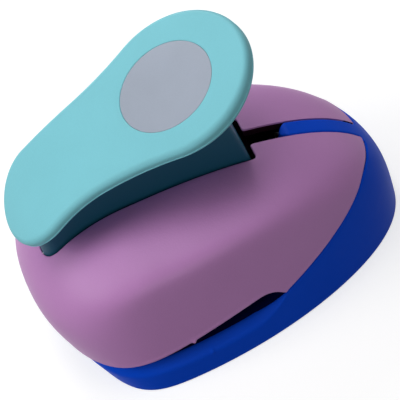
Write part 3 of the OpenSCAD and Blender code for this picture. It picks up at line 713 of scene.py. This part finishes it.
# %% [markdown]
# ### Base surface
# Each row of the profile is a height and a depth below the skin. Low on the body the depth is taken level,
# so that the tray's walls stand upright, and higher up along the skin's normal. The fine edge along the top
# fades out at the spine's root and, as a side effect, over the middle two millimetres of the front lip, where
# the ledge is a little narrower.

# %% Base surface
top_place = skin(base_phi, base_z)
ledge = np.clip((CUSP[0] - top_place[:, 1]) / LEDGE_TAPER, 0, 1) ** LEDGE_CURVE
past_root = (np.abs(top_place[:, 0]) - ROOT_HALF + 0.02) / ROOT_EASE
edge = EDGE * smooth(past_root + ROOT_STEP * (top_place[:, 1] < ROOT_FROM_Y))
bevel_in, bevel_down = edge + (LEDGE_W - EDGE) * ledge, edge + (LEDGE_H - EDGE) * ledge
slant = np.hypot(bevel_in, bevel_down) + 1e-9
dir_z, dir_in = bevel_down / slant, bevel_in / slant
round_low, round_top = EDGE_SHARE * edge + LEDGE_LOW_R * ledge, EDGE_SHARE * edge + LEDGE_TOP_R * ledge
lip = base_z - bevel_down
thick = mix(WALL, TRAY_WALL, np.maximum(ledge, smooth((TRAY_BELOW - base_z) / TRAY_OVER)))
none = np.zeros_like(base_phi)

foot_dist, foot_depth = roll_edge(FOOT_ROLL)
foot = (foot_dist + none, foot_depth + none)
climb = np.linspace(0, 1, 34)[1:-1, None]
wall_rows = (mix(FOOT_ROLL, lip - round_low, climb), climb * none)
lip_mark = LIP_MARK_PROUD * np.exp(-((top_place[:, 1] - LIP_MARK_Y) / MARK_WIDE) ** 2)
low_round = corner((lip - round_low, none), (lip, -2 * lip_mark),
                   (lip + round_low * dir_z, round_low * dir_in))
top_round = corner((base_z - round_top * dir_z, bevel_in - round_top * dir_in), (base_z, bevel_in),
                   (base_z, bevel_in + round_top))
inner_top = (base_z[None], thick[None])
inner_foot = (np.full((1, len(none)), FLOOR_T), thick[None])
parts = (foot, wall_rows, low_round, top_round, inner_top, inner_foot)
z = np.vstack([part[0] for part in parts])
deep = np.vstack([part[1] for part in parts])
phi = np.broadcast_to(base_phi, z.shape)
normal, _ = skin_frame(phi, z)
level_way = np.clip((LEVEL_BELOW - z) / LEVEL_OVER, 0, 1)[..., None]
inward = mix(normal, unit(normal * [1, 1, 0]), level_way)
base_rows = skin(phi, z) - inward * deep[..., None]

around = base_rows[0, :, :2] - [0, OUTLET_Y]
turn_to = unit(around)


def circle_row(radius, height):
    """A ring round the outlet at that height, each point towards its column's place on the foot."""
    return np.column_stack([turn_to * radius + [0, OUTLET_Y], np.full(len(turn_to), height)])[None]


OUTLET_RIM_R = OUTLET_R + OUTLET_EDGE
collar = [circle_row(r, h) for r, h in ((COLLAR_R, FLOOR_T), (COLLAR_R, DIE_BOTTOM), (OUTLET_R, DIE_BOTTOM),
                                        (OUTLET_R, OUTLET_EDGE), (OUTLET_RIM_R, 0.0))]
base_points = np.concatenate([base_rows, *collar])
top_row = sum(len(part[0]) for part in parts[:4]) - 1
row_number = np.arange(len(base_points) - 1)
# The bands from the top of the tray's wall inwards take the near-black blue: painted shade on the base's
# inner edge.
PAINTED_SHADE_BANDS = 5
painted_shade_rows = (row_number >= top_row) & (row_number < top_row + PAINTED_SHADE_BANDS)
print("base rows", base_points.shape)

# %% [markdown]
# ### Screw holes in the underside
# Six screws come up through the base from below, and their heads are sunk in round holes. The underside is
# flat, so it is filled by a triangulation that keeps the foot, the outlet and the six rims as edges. Each
# hole then gets its wall and its end.

# %% Screw holes
SCREW_NODES = ("clamp_screws", "die_screws", "housing_screws")
HEAD_R, SUNK_R, SUNK_DEEP = 2.7, 3.0, 2.2


def screw_pair(node):
    """Places in plan of the left and the right screw of a CAD node, from its box."""
    low, high = (np.array(c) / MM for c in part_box(node))
    x, y = high[0] - HEAD_R, (low[1] + high[1]) / 2
    return [(-x, y), (x, y)]


places = np.array([place for node in SCREW_NODES for place in screw_pair(node)])
rim_t = np.linspace(0, 2 * math.pi, 40, endpoint=False)
rims = places[:, None] + SUNK_R * np.column_stack([np.cos(rim_t), np.sin(rim_t)])
loops = [base_points[0, :, :2], base_points[-1, :, :2], *rims]
starts = np.cumsum([0] + [len(loop) for loop in loops])
spans = [np.arange(a, b) for a, b in zip(starts, starts[1:])]
edges = np.vstack([np.column_stack([span, np.roll(span, -1)]) for span in spans])
flat = np.vstack(loops)
filled = delaunay_2d_cdt([Vector(p) for p in flat], edges.tolist(), [], 1, 1e-6, False)
triangles = np.array(filled[2])
centre = flat[triangles].mean(1)
in_outlet = np.linalg.norm(centre - [0, OUTLET_Y], axis=1) < OUTLET_RIM_R
in_hole = (np.linalg.norm(centre[:, None] - places, axis=2) < SUNK_R).any(1)
triangles = triangles[~in_outlet & ~in_hole]

rows, cols = base_points.shape[:2]
first = rows * cols
rim_at = np.arange(rims.shape[0] * rims.shape[1]).reshape(rims.shape[:2]) + first
end_at = rim_at + rim_at.size
point_at = np.concatenate([np.arange(cols), np.arange(first - cols, first), rim_at.ravel()])
next_rim, next_end = np.roll(rim_at, -1, 1), np.roll(end_at, -1, 1)
walls = np.stack([rim_at, end_at, next_end, next_rim], -1).reshape(-1, 4)
tray_faces = grid_faces(rows, cols, close_cols=True)
more_faces = [*point_at[triangles][:, ::-1], *walls, *end_at[:, ::-1]]
rim_points = np.column_stack([rims.reshape(-1, 2), np.zeros(rim_at.size)])
tray_points = np.vstack([base_points.reshape(-1, 3), rim_points, rim_points + [0, 0, SUNK_DEEP]])
tray_shell = shell_of(tray_points, tray_faces + more_faces)
tray_painted_shade = np.append(np.repeat(painted_shade_rows.astype(int), cols), np.zeros(len(more_faces), int))
print("underside filled with", len(triangles), "triangles round", len(places), "screw holes,",
      "points kept:", len(filled[0]) == len(flat))

# %% [markdown]
# ## Spine
# From the heel a narrow spine curls forward over the dome in its own slot, flush with the skin. Its root
# flares into the heel with a small fillet on each side, and its nose is rounded and dives into the slot.
# It is a strip of the skin: stations up the crest, and across each one a section with rolled edges.

# %% Spine
SPINE_NOSE_Y, SPINE_EDGE, NOSE_DIVE, DIVE_RUN, NOSE_FROM, ROOT_RUN = 25.1, 0.5, 1.3, 2.2, 0.86, 0.8
root_y = float(aft_y(np.array(HEEL_END[1])))
to_nose = NOSE_FROM + (1 - NOSE_FROM) * np.sin(np.linspace(0, math.pi / 2, 18))[1:]
station = np.concatenate([np.linspace(0, NOSE_FROM, 46), to_nose])
station_y = mix(root_y, SPINE_NOSE_Y, station)
station_z = crest_line(station_y)
run = np.concatenate([[0], np.cumsum(np.hypot(np.diff(station_y), np.diff(station_z)))])
to_tip = run[-1] - run
flare = SPINE_FLARE - np.sqrt(np.maximum(SPINE_FLARE ** 2 - np.maximum(SPINE_FLARE - run, 0) ** 2, 0))
nose = np.sqrt(np.maximum(SPINE_HALF ** 2 - np.maximum(SPINE_HALF - to_tip, 0) ** 2, 0)) / SPINE_HALF
half_width = (SPINE_HALF + flare) * np.maximum(nose, 0.02)
edge_r = np.minimum(SPINE_EDGE, 0.45 * half_width)[:, None]
edge_in, edge_deep = (part.T for part in roll_edge(edge_r.T))
across = np.linspace(-1, 1, 15)[1:-1]
flat_half = half_width[:, None] - edge_r
rolled = half_width[:, None] - edge_in
spine_x = np.hstack([-rolled, flat_half * across, rolled[:, ::-1]])
spine_deep = np.hstack([edge_deep, 0 * flat_half * across, edge_deep[:, ::-1]])
dive = np.maximum(0, DIVE_RUN - to_tip)[:, None] ** 2 / (2 * DIVE_RUN) * NOSE_DIVE
spine_deep = spine_deep * smooth(run / ROOT_RUN)[:, None] + dive
spine_skin, spine_normal = rear_skin(spine_x, np.broadcast_to(station_z[:, None], spine_x.shape))
spine_outer = spine_skin - spine_normal * spine_deep[..., None]
spine_inner = (spine_skin - spine_normal * (WALL + dive)[..., None])[:, ::-1]
spine_points = np.concatenate([spine_outer, spine_inner], 1)
spine_faces = tube_faces(*spine_points.shape[:2])
spine_shell = shell_of(spine_points.reshape(-1, 3), spine_faces)
base_painted_shade = np.append(tray_painted_shade, np.zeros(len(spine_faces), int))
make_piece("base_moulding", [tray_shell, spine_shell], [blue_plastic, blue_painted_shade], "body",
           ["base"], finish_of_face=base_painted_shade)

# %% [markdown]
# ## Lever paddle
# The paddle is a flat plate with a wide round thumb end, a drawn-in waist and a narrower front end that
# bends down to the hinge. Its outline is three arcs, and a smaller outline is the same arcs with other
# radii, so the rounded edge is a stack of outlines, with a fine bead where the mould parts. The top face
# fans from the disc's recess out to the edge.

# %% Paddle outline
DISC_Y, DISC_Z, TILT = 1.3, 67.6, math.radians(17.6)
DISC_R, DISC_T, RECESS_R = 12.7, 0.8, 12.75
PAD_R, PAD_BACK, NECK_R, NECK_REACH, WAIST_R = 20.8, 1.75, 14.0, 43.4, 89.0
PLATE_T, BEND_START, BEND_R = 3.8, 23.7, 58.0
EDGE_TOP, EDGE_UNDER = 1.53, 0.8
BEAD_PROUD, BEAD_TALL = 0.12, 0.45
THIN_SHARE, THIN_FROM, THIN_OVER = 0.38, 12.0, 20.0


def paddle_half(inset):
    """Right half of the outline taken in by inset: thumb, waist and neck arcs joined at tangent points."""
    r1, r2, r3, d = PAD_R - inset, NECK_R - inset, WAIST_R + inset, NECK_REACH
    along = ((r1 + r3) ** 2 - (r2 + r3) ** 2 + d * d) / (2 * d)
    aside = math.sqrt((r1 + r3) ** 2 - along ** 2)
    a1, a2 = math.atan2(-along, aside), math.atan2(d - along, aside)
    t1 = np.linspace(math.pi / 2, a1, 56)
    t2 = np.linspace(a1, a2, 30)[1:-1]
    t3 = np.linspace(a2, -math.pi / 2, 44)
    x = np.concatenate([r1 * np.cos(t1), aside - r3 * np.cos(t2), r2 * np.cos(t3)])
    v = np.concatenate([r1 * np.sin(t1), -along - r3 * np.sin(t2), -d + r2 * np.sin(t3)]) + PAD_BACK
    return np.column_stack([x, v])


def paddle_loop(inset):
    half = paddle_half(inset)
    return np.vstack([half, half[-2:0:-1] * [-1, 1]])


def on_paddle(xv, h):
    """Point x across, v along and h below the top face: straight behind the bend, on an arc ahead of it.

    Below the top edge round, depths shrink towards the front, where the plate is thinner."""
    v, h = np.broadcast_arrays(xv[..., 1], h)
    h = h - THIN_SHARE * smooth((THIN_FROM - v) / THIN_OVER) * np.maximum(h - EDGE_TOP, 0)
    ahead = np.maximum(0, -BEND_START - v)
    a, s = TILT + ahead / BEND_R, np.maximum(v, -BEND_START)
    y = DISC_Y + s * math.cos(TILT) - BEND_R * (np.sin(a) - math.sin(TILT)) + h * np.sin(a)
    z = DISC_Z + s * math.sin(TILT) - BEND_R * (math.cos(TILT) - np.cos(a)) - h * np.cos(a)
    return np.stack([np.broadcast_to(xv[..., 0], y.shape), y, z], -1)


loop = paddle_loop(EDGE_TOP)
spoke = unit(loop)
recess = spoke * RECESS_R
spread = np.linspace(0, 1, 30)[:, None, None] ** 0.9
face_rows = on_paddle(mix(recess + spoke * 0.1, loop, spread), 0.0)
turns = np.linspace(0, math.pi / 2, 8)[1:]
top_edge = [on_paddle(paddle_loop(EDGE_TOP * (1 - math.sin(t))), EDGE_TOP * (1 - math.cos(t))) for t in turns]
turns = np.linspace(0, math.pi / 2, 6)
bead_low = PLATE_T - EDGE_UNDER
low_edge = [on_paddle(paddle_loop(EDGE_UNDER * (1 - math.cos(t))), bead_low + EDGE_UNDER * math.sin(t))
            for t in turns]
bead = [on_paddle(paddle_loop(-BEAD_PROUD * out), bead_low - BEAD_TALL * up_by)
        for out, up_by in ((0.0, 1.0), (0.9, 0.75), (1.0, 0.5), (0.9, 0.25))]
under_loop = paddle_loop(EDGE_UNDER)
under_rows = on_paddle(under_loop * mix(1.0, 0.02, np.linspace(0, 1, 24)[1:, None, None]), PLATE_T)
well = ((0.02, DISC_T), (0.6, DISC_T), (1.0, DISC_T), (1.0, 0.12), (1.003, 0.03))
well_rows = [on_paddle(recess * k, h) for k, h in well]
paddle_points = np.array([*well_rows, *face_rows, *top_edge, *bead, *low_edge, *under_rows])
paddle_shell = shell_of(paddle_points.reshape(-1, 3), tube_faces(*paddle_points.shape[:2]))
print("paddle grid", paddle_points.shape)

# %% [markdown]
# ## Lever skirt
# Under the paddle a box skirt goes down through the opening to the hinge. Its plan is a rectangle with
# rounded corners carried from the paddle's underside down to a stepped lower edge that clears the plunger,
# and its rear wall leans forward so that it passes the opening as the lever swings. It is moulded in one
# with the paddle, and its deeper turquoise is painted shade, the shade that falls under the paddle.

# %% Lever skirt
SKIRT_WALL, LEAN = 1.8, math.tan(math.radians(9.0))
SKIRT_NOSE, SKIRT_TAIL = 3.8, 1.0
HINGE_Y, HINGE_Z, CUTTER_Y, EAR_R, BOSS_R = -36.2, 30.0, -14.7, 4.2, 3.8
REAR_FOOT_Z = float(crest_line(SKIRT_REAR_Y)) - WALL - 3.6
LEAN_FROM_Z, LEAN_AHEAD, LEAN_RUN = REAR_FOOT_Z + 3, 9, 6
SKIRT_BITE, NO_DIP = 1.2, 99


def round_rectangle(half, front, rear, nose, tail, n=14):
    """Loop round a rectangle with corner arcs of radius nose in front and tail behind."""
    t = np.linspace(0, math.pi / 2, n)
    side = np.linspace(rear - tail, front + nose, 60)[1:-1]
    corners = ((1, rear, tail, 0.0), (-1, rear, tail, 0.5), (-1, front, nose, 1.0), (1, front, nose, 1.5))
    arcs = [np.column_stack([sx * (half - r) + r * np.cos(t + k * math.pi),
                             np.where(k < 1, y - r, y + r) + r * np.sin(t + k * math.pi)])
            for sx, y, r, k in corners]
    rear_end = np.linspace(half - tail, tail - half, 10)[1:-1]
    front_end = np.linspace(nose - half, half - nose, 10)[1:-1]
    rear_side = np.column_stack([rear_end, 0 * rear_end + rear])
    front_side = np.column_stack([front_end, 0 * front_end + front])
    left = np.column_stack([0 * side - half, side])
    right_side = np.column_stack([0 * side + half, side[::-1]])
    return np.vstack([arcs[0], rear_side, arcs[1], left, arcs[2], front_side, arcs[3], right_side])


def skirt_foot(y):
    """Lower edge of the skirt: straight runs that dip round the hinge ear and the presser's boss."""
    runs = np.interp(y, [SKIRT_FRONT_Y, HINGE_Y - 2, CUTTER_Y + 3, CUTTER_Y + 16, SKIRT_REAR_Y],
                     [HINGE_Z, HINGE_Z - 2, HINGE_Z - 2, HINGE_Z, REAR_FOOT_Z])
    ear = HINGE_Z - np.sqrt(np.maximum(EAR_R ** 2 - (y - HINGE_Y) ** 2, 0))
    boss = HINGE_Z - np.sqrt(np.maximum(BOSS_R ** 2 - (y - CUTTER_Y) ** 2, 0))
    dips = [np.where(dip < HINGE_Z, dip, NO_DIP) for dip in (ear, boss)]
    return np.minimum(runs, np.minimum(*dips))


under_v = np.linspace(-58, 24, 400)
under_line = on_paddle(np.column_stack([0 * under_v, under_v]), PLATE_T - SKIRT_BITE)[:, 1:]


def skirt_rows(path, steps):
    """The plan loop at heights from the paddle down to the foot; the rear end leans forward with height."""
    y0 = path[:, 1]
    hang = smooth((y0 - SKIRT_REAR_Y + LEAN_AHEAD) / LEAN_RUN)
    foot_z = skirt_foot(np.clip(y0, SKIRT_FRONT_Y, SKIRT_REAR_Y))
    roof_z = np.interp(y0, under_line[:, 0], under_line[:, 1])
    for _ in range(12):
        leaning = y0 - LEAN * hang * np.maximum(0, roof_z - LEAN_FROM_Z)
        roof_z = np.interp(leaning, under_line[:, 0], under_line[:, 1])
    z = mix(roof_z, foot_z, np.linspace(0, 1, steps)[:, None])
    y = y0 - LEAN * hang * np.maximum(0, z - LEAN_FROM_Z)
    return np.stack([np.broadcast_to(path[:, 0], z.shape), y, z], -1)


outer_path = round_rectangle(SKIRT_HALF, SKIRT_FRONT_Y, SKIRT_REAR_Y, SKIRT_NOSE, SKIRT_TAIL)
inner_path = round_rectangle(SKIRT_HALF - SKIRT_WALL, SKIRT_FRONT_Y + SKIRT_WALL, SKIRT_REAR_Y - SKIRT_WALL,
                             SKIRT_NOSE - SKIRT_WALL, 0.5)
skirt_points = np.concatenate([skirt_rows(outer_path, 40), skirt_rows(inner_path, 14)[::-1]])
skirt_shell = shell_of(skirt_points.reshape(-1, 3), grid_faces(*skirt_points.shape[:2], True, True))
# The skirt's deep turquoise is painted shade under the paddle.
make_piece("lever_paddle", [paddle_shell, skirt_shell], [turquoise_plastic, turquoise_painted_shade],
           "lever_arm", ["lever"])

# %% [markdown]
# ## Lever disc
# The grey inlay is a thin turned disc with a softened edge, lying in the recess with a hair of a gap round
# it. It is a profile turned about the recess's axis.

# %% Lever disc
profile = [(0.02, DISC_T), (0.96, DISC_T), (1.0, DISC_T - 0.12), (1.0, 0.16), (0.999, 0.09), (0.996, 0.05),
           (0.99, 0.04), (0.6, 0.04), (0.02, 0.04)]
ring = np.linspace(0, 2 * math.pi, 128, endpoint=False)
circle = np.column_stack([np.cos(ring), np.sin(ring)]) * DISC_R
disc_points = np.array([on_paddle(circle * k, h) for k, h in profile])
disc_shell = shell_of(disc_points.reshape(-1, 3), tube_faces(*disc_points.shape[:2]))
make_piece("lever_inlay", [disc_shell], [grey_foil], "lever_arm", ["lever_disc"])

# %% [markdown]
# ## Return springs
# Two wire springs lift the plunger. Each is a tube carried along a helix whose first and last turns lie
# flat, as a closed and ground end does.

# %% Return springs
SPRING_LOW, SPRING_HIGH, SPRING_R, WIRE_R, POST_X = 13.6, 22.75, 3.3, 0.45, 17.85
SPRING_TURNS, PRESS_SHORTENS = 5.0, 3.45


def spring_surface(side):
    """Circle of the wire's radius carried along a helix; the rise eases to nothing over the end turns."""
    a = np.linspace(0, 2 * math.pi * SPRING_TURNS, int(30 * SPRING_TURNS))
    turns_done = a / (2 * math.pi)
    pace = smooth(turns_done) * smooth(SPRING_TURNS - turns_done) + 0.28
    height = np.concatenate([[0], np.cumsum((pace[1:] + pace[:-1]) / 2)])
    z = mix(SPRING_LOW + WIRE_R + 0.02, SPRING_HIGH - WIRE_R - 0.02, height / height[-1])
    line = np.column_stack([SPRING_R * np.cos(a), SPRING_R * np.sin(a), z])
    tangent = unit(np.gradient(line, axis=0))
    out = np.column_stack([np.cos(a), np.sin(a), 0 * a])
    over = np.cross(tangent, out)
    t = np.linspace(0, 2 * math.pi, 12, endpoint=False)
    ring = np.cos(t)[None, :, None] * out[:, None] + np.sin(t)[None, :, None] * over[:, None]
    tube = line[:, None] + WIRE_R * ring
    return shell_of(tube.reshape(-1, 3) + [side * POST_X, CUTTER_Y, 0], tube_faces(*tube.shape[:2]))


for spring_name, side in (("left_return_spring", -1), ("right_return_spring", 1)):
    spring = make_piece(spring_name + "_wire", [spring_surface(side)], [screw_steel], "body",
                        [spring_name])
    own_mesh(spring)

# %% [markdown]
# ## Screws in the underside
# Six screws are sunk in the base, in pairs. Each is a turned profile: a shank, a domed pan head, and a
# cross recess pressed into it. The recess is a height that two crossed bars take out of the head's face.

# %% Screws in the underside
SCREW_R, HEAD_H, HEAD_Z, HEAD_DOME = 1.5, 1.9, 2.4, 0.75
CROSS_HALF, CROSS_REACH = 0.36, 1.55


def cross_arm(across, along):
    """1 inside one bar of the cross recess, easing to 0 at its sides and its ends."""
    return smooth((CROSS_HALF - np.abs(across)) / 0.16) * smooth((CROSS_REACH - np.abs(along)) / 0.3)


def screw_surface(x, y, length):
    """Rings from the shank's tip to the head's middle; inside the cross the face is pushed in along z."""
    swing = np.linspace(math.pi / 2, 0.01, 22)
    tip, face = HEAD_Z + length, HEAD_Z - HEAD_H
    stem_r = [0.02, 1.2, SCREW_R, SCREW_R, HEAD_R - 0.05, HEAD_R, HEAD_R]
    stem_z = [tip, tip, tip - 0.3, HEAD_Z, HEAD_Z, HEAD_Z - 0.05, face + HEAD_DOME]
    r = np.concatenate([stem_r, HEAD_R * np.sin(swing)])
    z = np.concatenate([stem_z, face + HEAD_DOME * (1 - np.cos(swing))])
    t = np.linspace(0, 2 * math.pi, 72, endpoint=False)
    px, py = r[:, None] * np.cos(t), r[:, None] * np.sin(t)
    sunk = np.clip(1.35 - 0.5 * np.hypot(px, py), 0.2, 1.2)
    pressed = np.maximum(cross_arm(px, py), cross_arm(py, px)) * sunk
    on_face = np.arange(len(r))[:, None] > len(stem_r)
    points = np.stack([px + x, py + y, z[:, None] + np.where(on_face, pressed, 0)], -1)
    return shell_of(points.reshape(-1, 3), tube_faces(*points.shape[:2]))


for node in SCREW_NODES:
    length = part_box(node)[1][2] / MM - HEAD_Z
    pair = [screw_surface(x, y, length) for x, y in screw_pair(node)]
    make_piece(node + "_cross", pair, [screw_steel], "body", [node])

# %% [markdown]
# ## Finishes on the CAD nodes that stay
# The plates, pins, posts, plunger and cutter keep their exact CAD shapes and only get a finish.

# %% Finishes on the CAD nodes
STAYS = {
    dark_steel: ["hinge_bracket", "hinge_pin", "pin_clips", "bracket_screws"],
    plate_steel: ["presser_pin", "wear_pad", "cutter", "guide_plate", "guide_posts",
                  "die_plate", "throat_spacer"],
    screw_steel: ["cutter_screws", "guide_screws"],
    black_plastic: ["plunger"],
}
for material, names in STAYS.items():
    for name in names:
        nodes[name].data.materials.clear()
        nodes[name].data.materials.append(material)
print("finished", sum(len(n) for n in STAYS.values()), "CAD nodes")

# %% [markdown]
# ## Studio
# The photograph is a cut-out on white, lit softly from above, from the front end and from the far side, so
# that the near side of the body lies in shade. Five soft lamps give that light: one overhead, two in front,
# one on the far side and a weak one near. The floor and the world look white to the camera, but give little
# light back. The floor keeps the punch's own shadow.

# %% Studio
scene = bpy.context.scene
scene.view_settings.view_transform = "Standard"

WHITE = (1.0, 1.0, 1.0, 1.0)
SIGHT_RAYS = ("Is Camera Ray", "Is Glossy Ray", "Is Transmission Ray")


def by_ray(wires, for_light, for_sight):
    """One shader for the rays that carry light, another for camera, mirror and glass rays."""
    carries = 1.0
    for name in SIGHT_RAYS:
        carries = carries * (1.0 - wires.node("ShaderNodeLightPath", {}, {}, name))
    return wires.node("ShaderNodeMixShader", {}, {"Fac": 1.0 - carries, 1: for_light, 2: for_sight})


def grey(level):
    """A grey as a colour with full alpha."""
    return (level, level, level, 1.0)


FLOOR_BOUNCE, FLOOR_SEEN, FLOOR_GLOW = 0.16, 0.5, 0.66
floor_mesh = bpy.data.meshes.new("floor")
floor_mesh.from_pydata([(-3, -3, 0), (3, -3, 0), (3, 3, 0), (-3, 3, 0)], [], [(0, 1, 2, 3)])
floor = bpy.data.objects.new("floor", floor_mesh)
scene.collection.objects.link(floor)
paper = Finish("pale_floor")
grain = paper.noise(9.0)
dim = paper.node("ShaderNodeBsdfDiffuse", {}, {"Color": grey(FLOOR_BOUNCE)})
pale = paper.mix(grain, grey(FLOOR_SEEN), grey(FLOOR_SEEN + 0.01))
lit = paper.node("ShaderNodeBsdfDiffuse", {}, {"Color": pale})
glow = paper.node("ShaderNodeEmission", {}, {"Strength": FLOOR_GLOW})
shown = paper.node("ShaderNodeAddShader", {}, {0: lit, 1: glow})
floor_mesh.materials.append(paper.surface(by_ray(paper, dim, shown)))

FILL = 0.165
world = bpy.data.worlds.new("studio")
world.use_nodes = True
scene.world = world
sky = Nodes(world.node_tree)
fill = sky.node("ShaderNodeBackground", {}, {"Color": WHITE, "Strength": FILL})
seen = sky.node("ShaderNodeBackground", {}, {"Color": WHITE})
sky.node("ShaderNodeOutputWorld", {}, {"Surface": by_ray(sky, fill, seen)})

LAMP_AWAY, LAMP_SIZE, LAMP_AIM = 0.9, 0.45, Vector((0, 0, 0.03))
LAMPS = (("top_lamp", 0, 90, 1.6), ("front_lamp", 0, 30, 2.5), ("high_lamp", 0, 60, 1.3),
         ("far_lamp", 270, 30, 2.7), ("near_lamp", 90, 10, 1.0))


def soft_lamp(name, azimuth, elevation, watts):
    """A round soft lamp that looks at the body from that way round and that height, both in degrees."""
    data = bpy.data.lights.new(name, "AREA")
    data.shape, data.size, data.energy = "DISK", LAMP_SIZE, watts
    lamp = bpy.data.objects.new(name, data)
    scene.collection.objects.link(lamp)
    a, e = math.radians(azimuth), math.radians(elevation)
    way = Vector((math.sin(a) * math.cos(e), -math.cos(a) * math.cos(e), math.sin(e)))
    facing = way.to_track_quat("Z", "Y").to_matrix().to_4x4()
    lamp.matrix_world = Matrix.Translation(LAMP_AIM + way * LAMP_AWAY) @ facing


for lamp in LAMPS:
    soft_lamp(*lamp)
print("studio ready:", len(LAMPS), "lamps")
